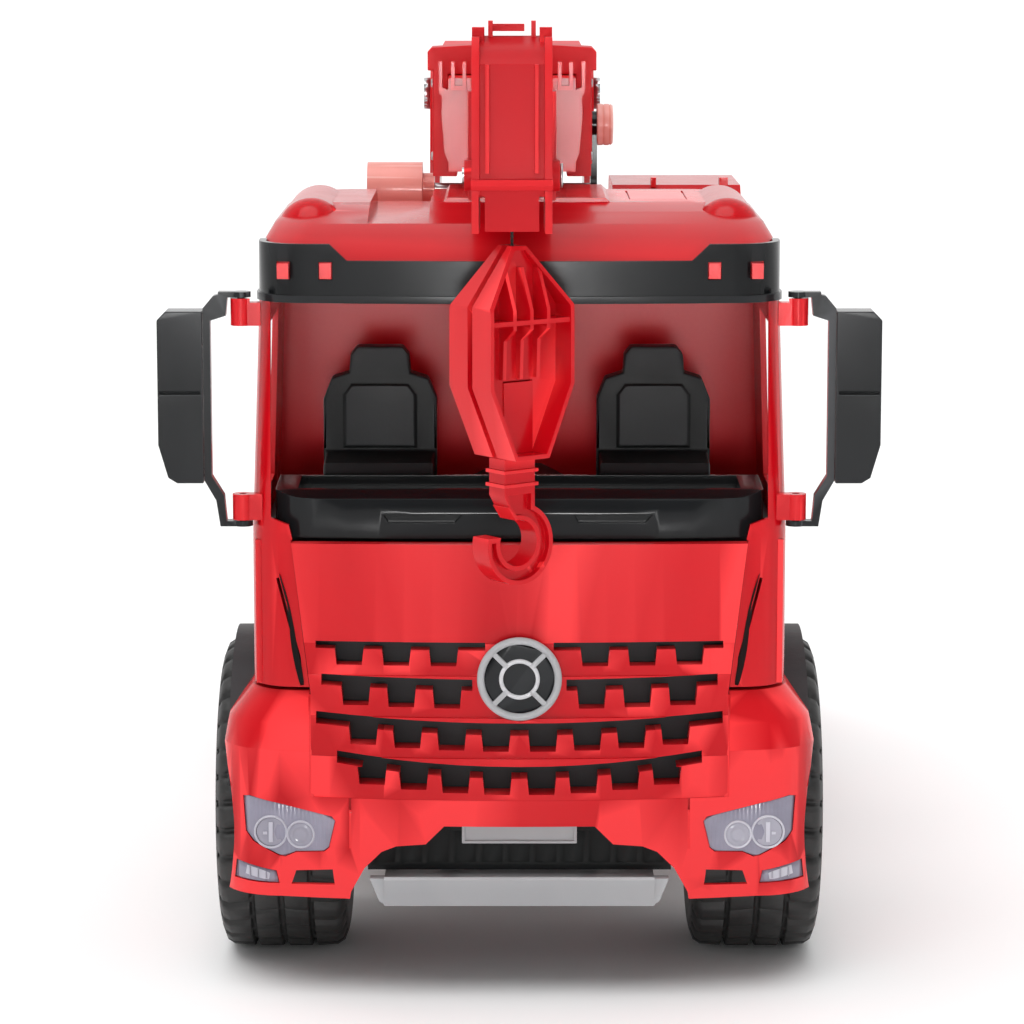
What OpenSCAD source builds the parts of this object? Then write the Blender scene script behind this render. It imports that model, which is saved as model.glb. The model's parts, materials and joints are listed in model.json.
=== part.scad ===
// Toy mobile crane truck: cab truck on three axles with a slewing,
// luffing and telescoping crane, a hand winch and a hanging hook.
// Millimetres. X to the truck's left-hand side as seen from the front,
// the truck faces -Y, Z up, wheels stand on z = 0.

/* [Truck] */
// Y of the bumper's front face, which centres the toy on the origin
front_y = -280.6; // [-286:0.1:-275]
// Half width of the cab at the belt line
cab_half = 108.6; // [106:0.2:110]
// Depth of the cab behind the bumper's front face
cab_depth = 178; // [174:1:180]
// Length of the chassis behind the bumper's front face
truck_len = 606; // [600:1:612]

/* [Wheels] */
// Tyre diameter
tyre_d = 132; // [130:1:134]
// Width of each tyre
tyre_w = 54; // [50:1:56]
// Front axle, distance behind the bumper
axle1_d = 92; // [90:1:94]
// First rear axle, distance behind the bumper
axle2_d = 392; // [388:1:396]
// Second rear axle, distance behind the bumper
axle3_d = 532; // [528:1:536]

/* [Crane] */
// Slewing axis, distance behind the bumper
slew_d = 375; // [373:1:377]
// Boom pivot, distance behind the bumper
pivot_d = 450; // [446:1:454]
// Boom pivot height
pivot_z = 347; // [346:0.5:348]
// Sideways place of the boom
boom_x = -3; // [-4:0.5:-2]
// Hook and nose sheave axis, distance ahead of the bumper
hook_reach = 46; // [44:1:48]
// Turn of the hook block about its string
hook_turn = 38; // [30:1:45]

/* [Fit] */
// Radial clearance of each turning fit
run_gap = 0.05; // [0.03:0.01:0.1]
// Clearance between sliding and swinging plastic parts
slip = 0.4; // [0.35:0.05:0.6]

/* [Hidden] */

$fn = 48;
eps = 0.01;
wall = 2.6;
bumper_half = 121.5;
tyre_r = tyre_d / 2;
tyre_x = 72;
axle_r = 3;
red = "#d62226";
black = "#262728";
silver = "#b3b5b7";

belt_z = 187;
cab_low_z = 126;
cab_top_z = 289;
arch_r = tyre_r + 6;
deck_z = 150;

// Place at a distance d behind the bumper's front face
module back(d, z = 0) { translate([0, front_y + d, z]) children(); }

// Extrude an outline drawn as (x, z) along Y, from d0 to d1
module along_y(d0, d1) {
    translate([0, front_y + d1, 0]) rotate([90, 0, 0]) linear_extrude(d1 - d0) children();
}

// Extrude an outline drawn as (d, z) along X, from x0 to x1
module along_x(x0, x1) {
    translate([x0, front_y, 0]) rotate([90, 0, 90]) linear_extrude(x1 - x0) children();
}

// Box given by its x, d and z limits
module block(x0, x1, d0, d1, z0, z1) {
    translate([x0, front_y + d0, z0]) cube([x1 - x0, d1 - d0, z1 - z0]);
}

// Rod along X
module rod_x(r, x0, x1, d, z) {
    translate([x0, front_y + d, z]) rotate([0, 90, 0]) cylinder(r = r, h = x1 - x0);
}

module both_sides() {
    children();
    mirror([1, 0, 0]) children();
}

// Half outline of the front in plan, from the middle round the corner
// to the side: half width w, corner radius r, nose bow b at x = flat
function plan_half(w, d, r, b, inset, side_d) = concat(
    [for (i = [0:6]) let (x = i / 6 * (w - r)) [x, d + b * pow(x / (w - r), 2) + inset]],
    [for (i = [1:8]) let (a = i / 8 * 90)
        [w - r + (r - inset) * sin(a), d + b + r - (r - inset) * cos(a)]],
    [[w - inset, side_d]]);

function flip_x(pts) = [for (i = [len(pts) - 1:-1:0]) [-pts[i][0], pts[i][1]]];
function reversed(pts) = [for (i = [len(pts) - 1:-1:0]) pts[i]];
function plan_all(w, d, r, b, inset, side_d) = let (h = plan_half(w, d, r, b, inset, side_d))
    concat(flip_x([for (i = [1:len(h) - 1]) h[i]]), h);

// Skin that follows the plan outline, open at the back
module plan_skin(w, d, r, b, inset, t, side_d) {
    polygon(concat(plan_all(w, d, r, b, inset, side_d),
        reversed(plan_all(w, d, r, b, inset + t, side_d))));
}

module bumper_skin(inset, t, z0, z1, side_d = 96) {
    back(0, z0) linear_extrude(z1 - z0) plan_skin(bumper_half, 0, 24, 10, inset, t, side_d);
}

module wheel_arch(r) {
    both_sides() rod_x(r, 60, 130, axle1_d, tyre_r);
}

// ---------------------------------------------------------------- front

headlamp_outline = [[-112.5, 81.5], [-110, 82], [-76.4, 74.8], [-75, 73], [-77.6, 62.2],
    [-79.5, 60.6], [-91, 60], [-95.6, 57.8], [-98, 58.2], [-108.6, 63.6], [-111.5, 67.4]];

module lamp_prism(g) {
    along_y(-2, 40) offset(delta = g) polygon(headlamp_outline);
}

module lower_mouth() {
    along_y(-2, 40) polygon([[-69.5, 38], [-68.5, 44], [-63, 54], [-56, 61], [-50, 63.5], [-38, 64.6],
        [-30.5, 72.2], [30.5, 72.2], [38, 64.6], [50, 63.5], [56, 61], [63, 54], [68.5, 44],
        [69.5, 38]]);
}

// Shoulder of the bumper, drawn in from its corners to the cab
module bumper_shoulder(inset, over) {
    hull() {
        back(0, 102 - over) linear_extrude(eps) polygon(plan_all(bumper_half, 0, 24, 10, inset, 96));
        back(0, 113) linear_extrude(eps) polygon(plan_all(bumper_half - 2.4, 1.6, 22, 10, inset, 96));
        back(0, cab_low_z - 0.4 + over) linear_extrude(eps)
            polygon(plan_all(109.8, 7, 20, 8, inset, 96));
    }
}

module fog_prism(g) {
    along_y(-2, 40) offset(delta = g)
        polygon([[-116.4, 46.9], [-115.6, 54], [-99.4, 51.2], [-98.4, 46.6]]);
}

// Pockets behind the lamps
module lamp_pockets() {
    both_sides() intersection() {
        bumper_skin(2.95, 2.2, 44, 90);
        union() {
            lamp_prism(1.5);
            fog_prism(1.4);
        }
    }
}

module front_bumper() {
    color(red) difference() {
        union() {
            bumper_body();
            lamp_pockets();
        }
        wheel_arch(arch_r);
        both_sides() block(60, 130, 70, 100, 30, 130);
    }
}

module bumper_body() {
    difference() {
        union() {
            bumper_skin(0, 3, 41, 102);
            difference() {
                bumper_shoulder(0, 0);
                bumper_shoulder(3, 0.1);
            }
            // arms that clasp the chassis rails
            both_sides() block(rail_x, rail_x + 6, 2.5, 52, 74.5, 82.4);
        }
        block(-85.2, 85.2, -6, 60, 83, 130);
        lower_mouth();
        both_sides() lamp_prism(0.3);
        both_sides() fog_prism(0.4);
        both_sides() along_y(-2, 40)
            polygon([[-93, 46.2], [-91, 52], [-76, 53], [-75.2, 46.6]]);
        both_sides() block(-69.2, -68.3, 3, 7, 62, 84);
    }
}

// One row of the grille: a slot whose lower edge is cut into teeth
module grille_row(x0, x1, z_mid, z_end, slot_h, notch_h, pitch, first, count) {
    function top_z(x) = z_mid + (z_end - z_mid) * pow(x / x1, 2);
    half_top = 5.9;
    half_low = 5.1;
    polygon(concat(
        [for (i = [0:6]) let (x = x0 + (x1 - x0) * i / 6) [x, top_z(x)]],
        [for (i = [6:-1:0]) let (x = x0 + (x1 - x0) * i / 6) [x, top_z(x) - slot_h]]));
    for (k = [0:count - 1]) let (c = first + k * pitch, z = top_z(c) - slot_h + 0.5)
        polygon([[c - half_top, z], [c + half_top, z], [c + half_low, z - notch_h],
            [c - half_low, z - notch_h]]);
}

module grille_cuts() {
    both_sides() along_y(-8, 30) grille_row(13.8, 82.4, 146.9, 147.3, 3, 7, 19.1, 30.6, 3);
    both_sides() along_y(-8, 30) grille_row(19, 80.2, 132.2, 133.8, 4.6, 8, 18.5, 29.2, 3);
    both_sides() along_y(-8, 30) grille_row(-0.2, 82.4, 114.6, 118.4, 5, 7.2, 17.9, 9.5, 4);
    both_sides() along_y(-8, 30) grille_row(-0.2, 74, 97, 102.4, 5, 7.2, 16.9, 9, 4);
}

// Curved strip of the front panel between two heights
module panel_strip(half, d, b, t, z0, z1) {
    back(0, z0) linear_extrude(z1 - z0)
        polygon(concat(
            [for (i = [-8:8]) let (x = half * i / 8) [x, d + b * pow(x / 92, 2)]],
            [for (i = [8:-1:-8]) let (x = half * i / 8) [x, d + t + b * pow(x / 92, 2)]]));
}

module front_grille() {
    color(red) difference() {
        intersection() {
            union() {
                panel_strip(92, 6.2, 3, 6, 146.5, belt_z);
                panel_strip(88, 4.6, 5, 7.6, 133.4, 146.6);
                panel_strip(88, 3.2, 6.4, 9, 116.5, 133.5);
                panel_strip(88, 1.6, 8, 10.6, 100, 116.6);
                panel_strip(88, 0.2, 9.4, 12, 83, 100.1);
            }
            along_y(-8, 40) polygon([[-92, belt_z], [92, belt_z], [84.6, 125.6], [84.6, 83],
                [-84.6, 83], [-84.6, 125.6]]);
        }
        grille_cuts();
        back(-8, 133) rotate([-90, 0, 0]) cylinder(r = 17.5, h = 11.1);
        back(0, 133) rotate([-90, 0, 0]) cylinder(r = 15, h = 20);
    }
}

module grille_backing() {
    color(black) {
        panel_strip(83, 13, 9.8, 2, 85, 151);
        difference() {
            block(-62, 62, 14, 18, 51, 70);
            for (k = [-5:5]) block(k * 11 - 4, k * 11 + 4, 13, 15.5, 54, 67);
        }
        block(-6, 6, 14, 15.6, 69, 86);
    }
}

module badge_ring() {
    color(silver) back(0, 133) rotate([-90, 0, 0]) {
        rotate_extrude() translate([15.6, 1.2]) circle(1.5, $fn = 24);
        difference() {
            translate([0, 0, 0.2]) cylinder(r = 8.2, h = 1.2);
            translate([0, 0, 0.1]) cylinder(r = 6.6, h = 1.4);
        }
        for (a = [45:90:315]) rotate([0, 0, a]) translate([8, -1, 0.2]) cube([6.4, 2, 1.2]);
    }
}

module badge_disc() {
    color(black) back(0, 133) rotate([-90, 0, 0]) translate([0, 0, 1.4]) cylinder(r = 14.05, h = 11.5);
}

module front_lamps() {
    color([0.62, 0.6, 0.68]) both_sides() difference() {
        union() {
            intersection() {
                bumper_skin(0.5, 2.4, 55, 90);
                lamp_prism(0);
            }
            intersection() {
                bumper_skin(0.6, 2.3, 44, 57);
                fog_prism(0);
            }
        }
        rod_x(arch_r, -130, -60, axle1_d, tyre_r);
    }
}

module number_plate() {
    color(silver) difference() {
        block(-23.4, 23.4, 8, 14, 63.4, 71.8);
        block(-22.2, 22.2, 7, 8.7, 64.6, 70.6);
    }
}

module skid_plate() {
    color(silver) {
        along_x(-55, 55) polygon([[2.5, 49.4], [3.4, 50.4], [9, 49.2], [30, 48], [30, 45.6], [8, 46.4],
            [5.5, 38.8], [3.5, 38.4]]);
        both_sides() along_y(3.4, 9) polygon([[54.9, 39], [57, 40.4], [60.8, 49.8], [54.9, 49.8]]);
        // legs that meet the front of the chassis rails
        both_sides() along_x(26, 32) polygon([[22, 46.6], [30, 46.6], [40, 74.6], [40, 90], [37, 90],
            [36, 76]]);
    }
}

// ---------------------------------------------------------------- cab

module cab_plan(inset, w, d, z) {
    back(0, z) linear_extrude(eps) polygon(concat(
        plan_all(w, d, 18, 3, inset, cab_depth - inset)));
}

module cab_prism(inset, z0, z1) {
    hull() {
        cab_plan(inset, cab_half, 9, z0);
        cab_plan(inset, cab_half, 9, 190);
        cab_plan(inset, cab_half - 3.2, 17, z1);
    }
}

module stub(z0, z1) {
    difference() {
        union() {
            back(22, z0) translate([-112, 0, 0]) cylinder(r = 4.2, h = z1 - z0);
            block(-112, -104, 18.8, 25.2, z0, z1);
        }
        back(22, z0 - 1) translate([-112, 0, 0]) cylinder(r = 1.5 + run_gap, h = z1 - z0 + 2);
    }
}

module cab_shell() {
    color(red) difference() {
        union() {
            difference() {
                cab_prism(0, cab_low_z, cab_top_z);
                translate([0, 0, -0.02]) cab_prism(wall, cab_low_z, cab_top_z + 0.1);
            }
            both_sides() stub(274, 285);
            both_sides() stub(195, 205.5);
            both_sides() block(-111.2, -107.4, 100, 132, 172, 186);
            both_sides() block(-107, -92, 19, 22, 128, belt_z);
            // pan that rests on the chassis posts, and ledges under the cab floor
            block(-66, 66, 60, cab_depth - 1, 125.4, 129);
            both_sides() block(-107, -100, 66, 170, 180, 183);
        }
        // windscreen with stepped lower corners
        along_y(-8, 45) polygon([[-100.4, 286], [100.4, 286], [100.4, 196.4], [93, 194], [91.4, belt_z],
            [-91.4, belt_z], [-93, 194], [-100.4, 196.4]]);
        // opening that the front panel fills
        along_y(-8, 26) polygon([[-92.4, belt_z + 1], [92.4, belt_z + 1], [85, 125.4], [85, 120],
            [-85, 120], [-85, 125.4]]);
        // air slots beside the front panel
        both_sides() along_y(-8, 22) polygon([[-98.4, 172], [-97.2, 172.4], [-88.6, 140],
            [-87.9, 130], [-88.9, 130], [-90, 140]]);
        // side windows
        both_sides() along_x(-120, -95) polygon([[40, 204], [62, 198], [128, 198], [128, 270],
            [44, 270], [38, 262]]);
        // door lines
        both_sides() block(-cab_half - 1, -cab_half + 0.8, 32, 33, 150, 280);
        both_sides() block(-cab_half - 1, -cab_half + 0.8, 134, 135, 128, 280);
        both_sides() block(-cab_half - 1, -cab_half + 0.8, 32, 135, 165, 166);
        both_sides() block(-110, -105, 108, 124, 175, 183);
        wheel_arch(arch_r + 1.2);
        both_sides() block(60, 130, 0, 60, 120, 127.6);
        visor_room();
    }
}

// Room that the roof and the pillars leave for the visor
module visor_room() {
    back(0, 283.3) linear_extrude(25) plan_skin(105.4, 11, 20, 4, -8, 11.4, 44.4);
}

// Layers of the domed roof: height and inset of sides, front and back
roof_layers = [[289.3, 0, 0, 0], [300, 0.4, 7, 0.6], [307, 1.8, 19, 2], [312.4, 4.8, 33, 5],
    [316.2, 9.6, 49, 10], [318.8, 18, 66, 17]];

module roof_layer(l, inset) {
    w = cab_half - 3.2 - l[1] - inset;
    d0 = 17 + l[2] + inset;
    d1 = cab_depth - l[3] - inset;
    r = 16;
    back((d0 + d1) / 2, l[0]) linear_extrude(eps) union() {
        square([2 * w - 2 * r, d1 - d0], center = true);
        square([2 * w, d1 - d0 - 2 * r], center = true);
        for (sx = [-1, 1], sy = [-1, 1])
            translate([sx * (w - r), sy * ((d1 - d0) / 2 - r)]) circle(r, $fn = 32);
    }
}

// Sides and floor of the hollow in the roof below the winch knob
knob_room = [-62, -37, 312.6];

module cab_roof() {
    color(red) {
        difference() {
            union() {
                hull() for (l = roof_layers) roof_layer(l, 0);
                both_sides() hull() for (d = [72, 146])
                    back(d, 307.6) translate([-86, 0, 0]) sphere(r = 14, $fn = 48);
                along_y(84, 164) polygon([[-33, 317], [-30, 320.6], [36, 320.6], [40, 317]]);
            }
            difference() {
                translate([0, 0, -3]) hull() for (l = roof_layers) roof_layer(l, wall);
                block(knob_room[0] - 3, knob_room[1] + 3, 0, 200, knob_room[2] - 3, 330);
            }
            // hollow above which the winch knob turns
            block(knob_room[0], knob_room[1], 0, 200, knob_room[2], 330);
            block(46, 46.8, 100, 150, 318.2, 325);
            block(70, 70.8, 100, 150, 318.2, 325);
            block(46, 70.8, 100, 100.8, 318.2, 325);
            visor_room();
        }
        // pegs that show through the holes in the visor
        for (x = [-94.6, -77.6, 78, 95.2])
            block(x - 2.3, x + 2.3, 13.2, 32, 293.4, 299.6);
    }
}

module sun_visor() {
    color(black) difference() {
        union() {
            intersection() {
                back(0, 283) linear_extrude(30) plan_skin(105.4, 11, 20, 4, 0, 3, 44);
                along_y(0, 60) polygon([[-106, 283.6], [106, 283.6], [106, 307.2], [76, 307.2], [69, 300.6],
                    [-69, 300.6], [-76, 307.2], [-106, 307.2]]);
            }
            intersection() {
                back(0, 283) linear_extrude(30) plan_skin(105.4, 11, 20, 4, -1, 2, 44);
                along_y(0, 60) polygon([[-107, 283.6], [107, 283.6], [107, 286.6], [-107, 286.6]]);
            }
        }
        for (x = [-94.6, -77.6, 78, 95.2])
            block(x - 2.7, x + 2.7, 5, 40, 293, 300);
    }
}

module dashboard() {
    color(black) difference() {
        union() {
            block(-105.6, 105.6, 30, 68, 184.6, 188.2);
            intersection() {
                along_x(-99, 99) polygon([[24, belt_z + 1], [15, belt_z + 1], [14.4, 199], [17, 204],
                    [24, 206.6], [60, 207.6], [66, 205], [66, belt_z + 1]]);
                back(0, 180) linear_extrude(40) polygon(plan_all(101, 13.4, 16, 4, 0, 70));
            }
        }
        for (x0 = [-55, 22]) along_y(10, 18.6) polygon([[x0, 197.6], [x0 + 2, 194.4], [x0 + 29, 194.4],
            [x0 + 32, 197.8]]);
        for (x = [-77, 76]) block(x - 0.4, x + 0.4, 10, 16.4, 188, 206);
        block(-90, 90, 28, 58, 203.6, 210);
    }
}

module seat() {
    // back rest
    along_y(0, 12) polygon([[-24, 188], [24, 188], [24, 234], [20.5, 243], [13, 245.4], [12.4, 253],
        [9.6, 256.4], [-9.6, 256.4], [-12.4, 253], [-13, 245.4], [-20.5, 243], [-24, 234]]);
    along_x(-23, 23) polygon([[0.1, 196.4], [-24, 196.4], [-26, 200], [-26, 206], [-23, 210], [0.1, 212]]);
    along_y(-1.6, 0.1) polygon([[-15, 214], [15, 214], [15, 236], [12, 240], [-12, 240], [-15, 236]]);
}

module seat_left() {
    color(black) translate([-59, 100, 0]) seat();
}

module seat_right() {
    color(black) translate([57, 100, 0]) seat();
}

module cab_floor() {
    color(black) union() {
        block(-cab_half + 3.4, cab_half - 3.4, 68, cab_depth - 3.2, 183, 188);
        along_y(70, cab_depth - 4) polygon([[-26, 187.9], [-10, 196], [10, 196], [26, 187.9]]);
    }
}

module front_mudguards() {
    color(black) both_sides() {
        difference() {
            rod_x(arch_r - 0.4, 66, 119.6, axle1_d, tyre_r);
            rod_x(arch_r - 3, 68.4, 121, axle1_d, tyre_r);
            block(60, 130, 0, 200, -20, 84);
        }
        // arm to the cab post
        block(rail_x + 10, 66.5, 62, 74, 112, 118);
    }
}

// ---------------------------------------------------------------- mirrors

module mirror_bracket() {
    union() {
        // tongue and pin over the upper stub
        back(22, 285.4) translate([-112, 0, 0]) cylinder(r = 4, h = 2.2);
        block(-121, -112, 19, 25, 285.4, 287.6);
        back(22, 277) translate([-112, 0, 0]) cylinder(r = 1.5, h = 9);
        // arms and upright
        along_y(19, 25) polygon([[-117, 287.6], [-118, 278], [-124.3, 276], [-124.3, 213], [-119.4, 205],
            [-118.2, 192.4], [-121, 192.4], [-122.6, 203], [-127.2, 211], [-127.2, 281], [-123, 286]]);
        // tongue and pin under the lower stub
        back(22, 192.4) translate([-112, 0, 0]) cylinder(r = 4, h = 2.2);
        block(-121, -112, 19, 25, 192.4, 194.6);
        back(22, 194) translate([-112, 0, 0]) cylinder(r = 1.5, h = 8);
    }
}

module mirror_housing() {
    difference() {
        along_y(16, 30) polygon([[-127.4, 280], [-142, 280], [-145.5, 276.4], [-145.5, 226], [-141.6, 212.6],
            [-138, 210.4], [-127.4, 210.4]]);
        // recess for the mirror face at the back
        along_y(28.4, 31) polygon([[-129.4, 277.6], [-141, 277.6], [-143.2, 275], [-143.2, 226.6],
            [-139.8, 215], [-137, 213], [-129.4, 213]]);
        along_y(15, 16.8) polygon([[-128.6, 246.6], [-144.6, 246.6], [-144.6, 247.6], [-128.6, 247.6]]);
    }
}

module mirror_bracket_left() { color(black) mirror_bracket(); }
module mirror_housing_left() { color(black) mirror_housing(); }
module mirror_bracket_right() { color(black) mirror([1, 0, 0]) mirror_bracket(); }
module mirror_housing_right() { color(black) mirror([1, 0, 0]) mirror_housing(); }

// ---------------------------------------------------------------- chassis

rail_x = 34;
rail_w = 9;
outrig_d = 240;

module chassis_frame() {
    color(black) difference() {
        union() {
            both_sides() difference() {
                block(rail_x - rail_w, rail_x, 40, truck_len - 6, 74, 122);
                block(rail_x - 5.4, rail_x + 1, 56, truck_len - 16, 80, 110);
            }
            for (d = [44, 150, 300, 460, truck_len - 18])
                block(-rail_x, rail_x, d, d + 10, 80, 116);
            // hangers that carry the axles
            both_sides() for (d = [axle1_d, axle2_d, axle3_d])
                along_x(rail_x - rail_w, rail_x)
                    polygon([[d - 26, 80], [d - 9, 56], [d + 9, 56], [d + 26, 80]]);
            // cab posts and deck posts
            for (d = [62, 150]) both_sides() block(rail_x - rail_w, rail_x + 10, d, d + 12, 110, 125.4);
            // tube that guides the outriggers
            block(-64, 64, outrig_d - 15, outrig_d + 15, 84, 106);
        }
        for (d = [axle1_d, axle2_d, axle3_d])
            rod_x(axle_r + run_gap, -50, 50, d, tyre_r);
        block(-80, 80, outrig_d - 11, outrig_d + 11, 88, 102);
    }
}

module crane_deck() {
    color(red) difference() {
        union() {
            block(-104, 104, 190, truck_len, deck_z - 6, deck_z);
            both_sides() block(100.5, 104, 190, truck_len, 128, deck_z - 5);
            both_sides() block(60, 63, 190, truck_len - 6, 122.4, deck_z - 5);
            both_sides() block(rail_x - rail_w, rail_x, 200, truck_len - 10, 122, deck_z - 5);
            for (k = [0:9]) both_sides() block(86, 98, 200 + k * 40, 224 + k * 40, deck_z - 1, deck_z + 1);
        }
        back(slew_d, 130) cylinder(r = 12, h = 40);
        both_sides() for (d = [axle2_d, axle3_d]) rod_x(arch_r + 1, 64, 130, d, tyre_r);
    }
}

module rear_mudguards() {
    color(black) both_sides() {
        difference() {
            for (d = [axle2_d, axle3_d]) rod_x(arch_r, 65.6, 119, d, tyre_r);
            for (d = [axle2_d, axle3_d]) rod_x(arch_r - 3, 68, 121, d, tyre_r);
            block(60, 130, axle2_d - 100, axle3_d + 100, -20, 96);
        }
        // blocks that hang them from the deck
        for (d = [axle2_d, axle3_d]) block(76, 98, d - 8, d + 8, 136.5, deck_z - 6);
    }
}

module rear_bumper() {
    color(black) difference() {
        union() {
            block(-104, 104, truck_len - 5.6, truck_len, 96, 127.6);
            block(-24, 24, truck_len - 5, truck_len + 24, 98, 104);
            back(truck_len + 14, 92) cylinder(r = 10, h = 12);
        }
        back(truck_len + 14, 80) cylinder(r = 4, h = 40);
        both_sides() block(-99, -71, truck_len - 1.6, truck_len + 1, 106, 120);
    }
}

module tail_lights() {
    color([0.55, 0.05, 0.05]) both_sides() {
        block(-98.6, -85.4, truck_len - 1.6, truck_len + 0.6, 106.4, 119.6);
        block(-84.6, -71.4, truck_len - 1.6, truck_len + 0.6, 106.4, 119.6);
    }
}

module fuel_tank() {
    color(silver) union() {
        block(64.4, 96, 204, 214, 96, 100);
        rod_x(19, 66, 104, 199, 84);
        block(35, 67, 194, 204, 80, 90);
    }
}

module battery_box() {
    color(black) difference() {
        union() {
            block(-104, -66, 184, 218, 66, 104);
            block(-67, -35, 194, 204, 80, 90);
        }
        for (z = [72, 80, 88, 96]) block(-105, -102.6, 188, 214, z, z + 3);
    }
}

// Beam with a foot, reaching out to the left of the truck
module outrigger() {
    union() {
        block(2, 96, outrig_d - 10.6, outrig_d + 10.6, 88.4, 101.6);
        block(96, 108, outrig_d - 10.6, outrig_d + 10.6, 60, 108);
        back(outrig_d, 46) translate([102, 0, 0]) cylinder(r = 4, h = 15);
        back(outrig_d, 42) translate([102, 0, 0]) cylinder(r = 13, h = 5);
    }
}

module outrigger_left() { color(red) mirror([1, 0, 0]) outrigger(); }
module outrigger_right() { color(red) outrigger(); }

// ---------------------------------------------------------------- wheels

module axle(d) {
    color(silver) rod_x(axle_r, -122, 122, d, tyre_r);
}

module rims(d) {
    color(red) both_sides() back(d, tyre_r) translate([tyre_x, 0, 0]) rotate([0, 90, 0]) difference() {
        rotate_extrude() polygon([[axle_r, 4], [8, 4], [8, 36], [14, 37], [30, 33], [35, 30], [35, 3],
            [38, 3], [38, tyre_w - 3], [34.5, tyre_w - 3], [31, tyre_w - 16], [18, tyre_w - 12],
            [14, tyre_w - 6], [8, tyre_w - 4], [axle_r, tyre_w - 4]]);
        for (a = [0:45:315]) rotate([0, 0, a]) translate([24.5, 0, 0]) cylinder(r = 4.4, h = tyre_w);
    }
}

module tyres(d) {
    color(black) both_sides() back(d, tyre_r) translate([tyre_x, 0, 0]) rotate([0, 90, 0])
        rotate_extrude($fn = 96) polygon([[38, 4], [41, 1.6], [50, 0.4], [58, 0], [63.5, 2.5], [tyre_r, 8],
            [tyre_r, 14], [tyre_r - 2.2, 15], [tyre_r - 2.2, 17], [tyre_r, 18],
            [tyre_r, tyre_w / 2 - 2], [tyre_r - 3, tyre_w / 2 - 1], [tyre_r - 3, tyre_w / 2 + 1],
            [tyre_r, tyre_w / 2 + 2], [tyre_r, tyre_w - 18], [tyre_r - 2.2, tyre_w - 17],
            [tyre_r - 2.2, tyre_w - 15], [tyre_r, tyre_w - 14], [tyre_r, tyre_w - 8],
            [63.5, tyre_w - 2.5], [58, tyre_w], [50, tyre_w - 0.4], [41, tyre_w - 1.6],
            [38, tyre_w - 4], [38, tyre_w - 9], [57, tyre_w - 7], [61, tyre_w - 12], [61, 12], [57, 7],
            [38, 9]]);
}

module front_axle() { axle(axle1_d); }
module front_rims() { rims(axle1_d); }
module front_tyres() { tyres(axle1_d); }
module middle_axle() { axle(axle2_d); }
module middle_rims() { rims(axle2_d); }
module middle_tyres() { tyres(axle2_d); }
module rear_axle() { axle(axle3_d); }
module rear_rims() { rims(axle3_d); }
module rear_tyres() { tyres(axle3_d); }

// ---------------------------------------------------------------- crane base

ring_top = deck_z + 9;
cheek_in = 36.4;
cheek_t = 5;
pin_r = 4;

module turntable_ring() {
    color(black) difference() {
        back(slew_d, deck_z) cylinder(r = 72, h = ring_top - deck_z);
        back(slew_d, deck_z - 1) cylinder(r = 11 + run_gap, h = 20);
        for (a = [0:30:330]) back(slew_d, ring_top - 3) rotate([0, 0, a]) translate([48, 0, 0])
            cylinder(r = 7, h = 10);
    }
}

module superstructure() {
    color(red) difference() {
        union() {
            difference() {
                back(slew_d, ring_top + 0.3) cylinder(r = 86, h = 8.7);
                back(slew_d, ring_top) cylinder(r = 83, h = 6);
            }
            back(slew_d, ring_top + 0.3) difference() {
                cylinder(r = 70, h = 8);
                translate([0, 0, -1]) cylinder(r = 62, h = 6.6);
            }
            // hub that turns in the ring
            back(slew_d, 141) cylinder(r = 11, h = 22);
            // cheeks that carry the boom pivot
            for (x = [boom_x - cheek_in - cheek_t, boom_x + cheek_in]) {
                along_x(x, x + cheek_t) polygon([[318, 167], [328, 200], [420, 300], [432, 352],
                    [462, 352], [474, 300], [478, 200], [484, 167]]);
                rod_x(15, x, x + cheek_t, pivot_d, pivot_z);
            }
            // box between the cheeks
            block(boom_x - cheek_in - 1, boom_x + cheek_in + 1, 330, 470, 167, 214);
            block(boom_x - cheek_in - 1, boom_x + cheek_in + 1, 446, 474, 213, 296);
            // shelf for the operator's cab and the counterweight
            block(boom_x + cheek_in, 104, 262, 400, 167, 173);
            block(-62, 60, 440, 520, 171, 176);
        }
        rod_x(pin_r + run_gap, -60, 60, pivot_d, pivot_z);
        block(boom_x - cheek_in + 2, boom_x + cheek_in - 2, 333, 467, 170, 211);
        block(boom_x - cheek_in + 2, boom_x + cheek_in - 2, 449, 471, 205, 293);
        both_sides() along_x(30, 60) polygon([[352, 226], [400, 226], [430, 262], [438, 300],
            [424, 288], [372, 240]]);
    }
}

module counterweight() {
    color(black) difference() {
        union() {
            block(-60, 58, 486, 522, 176, 232);
            along_y(522, 528) polygon([[-52, 180], [50, 180], [50, 226], [44, 230], [-46, 230], [-52, 226]]);
        }
        block(-57, 55, 489, 519, 170, 229);
        for (x = [-30, 0, 30]) block(x - 8, x + 6, 526.4, 530, 188, 222);
    }
}

op_x0 = 44;
op_x1 = 104;

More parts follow.
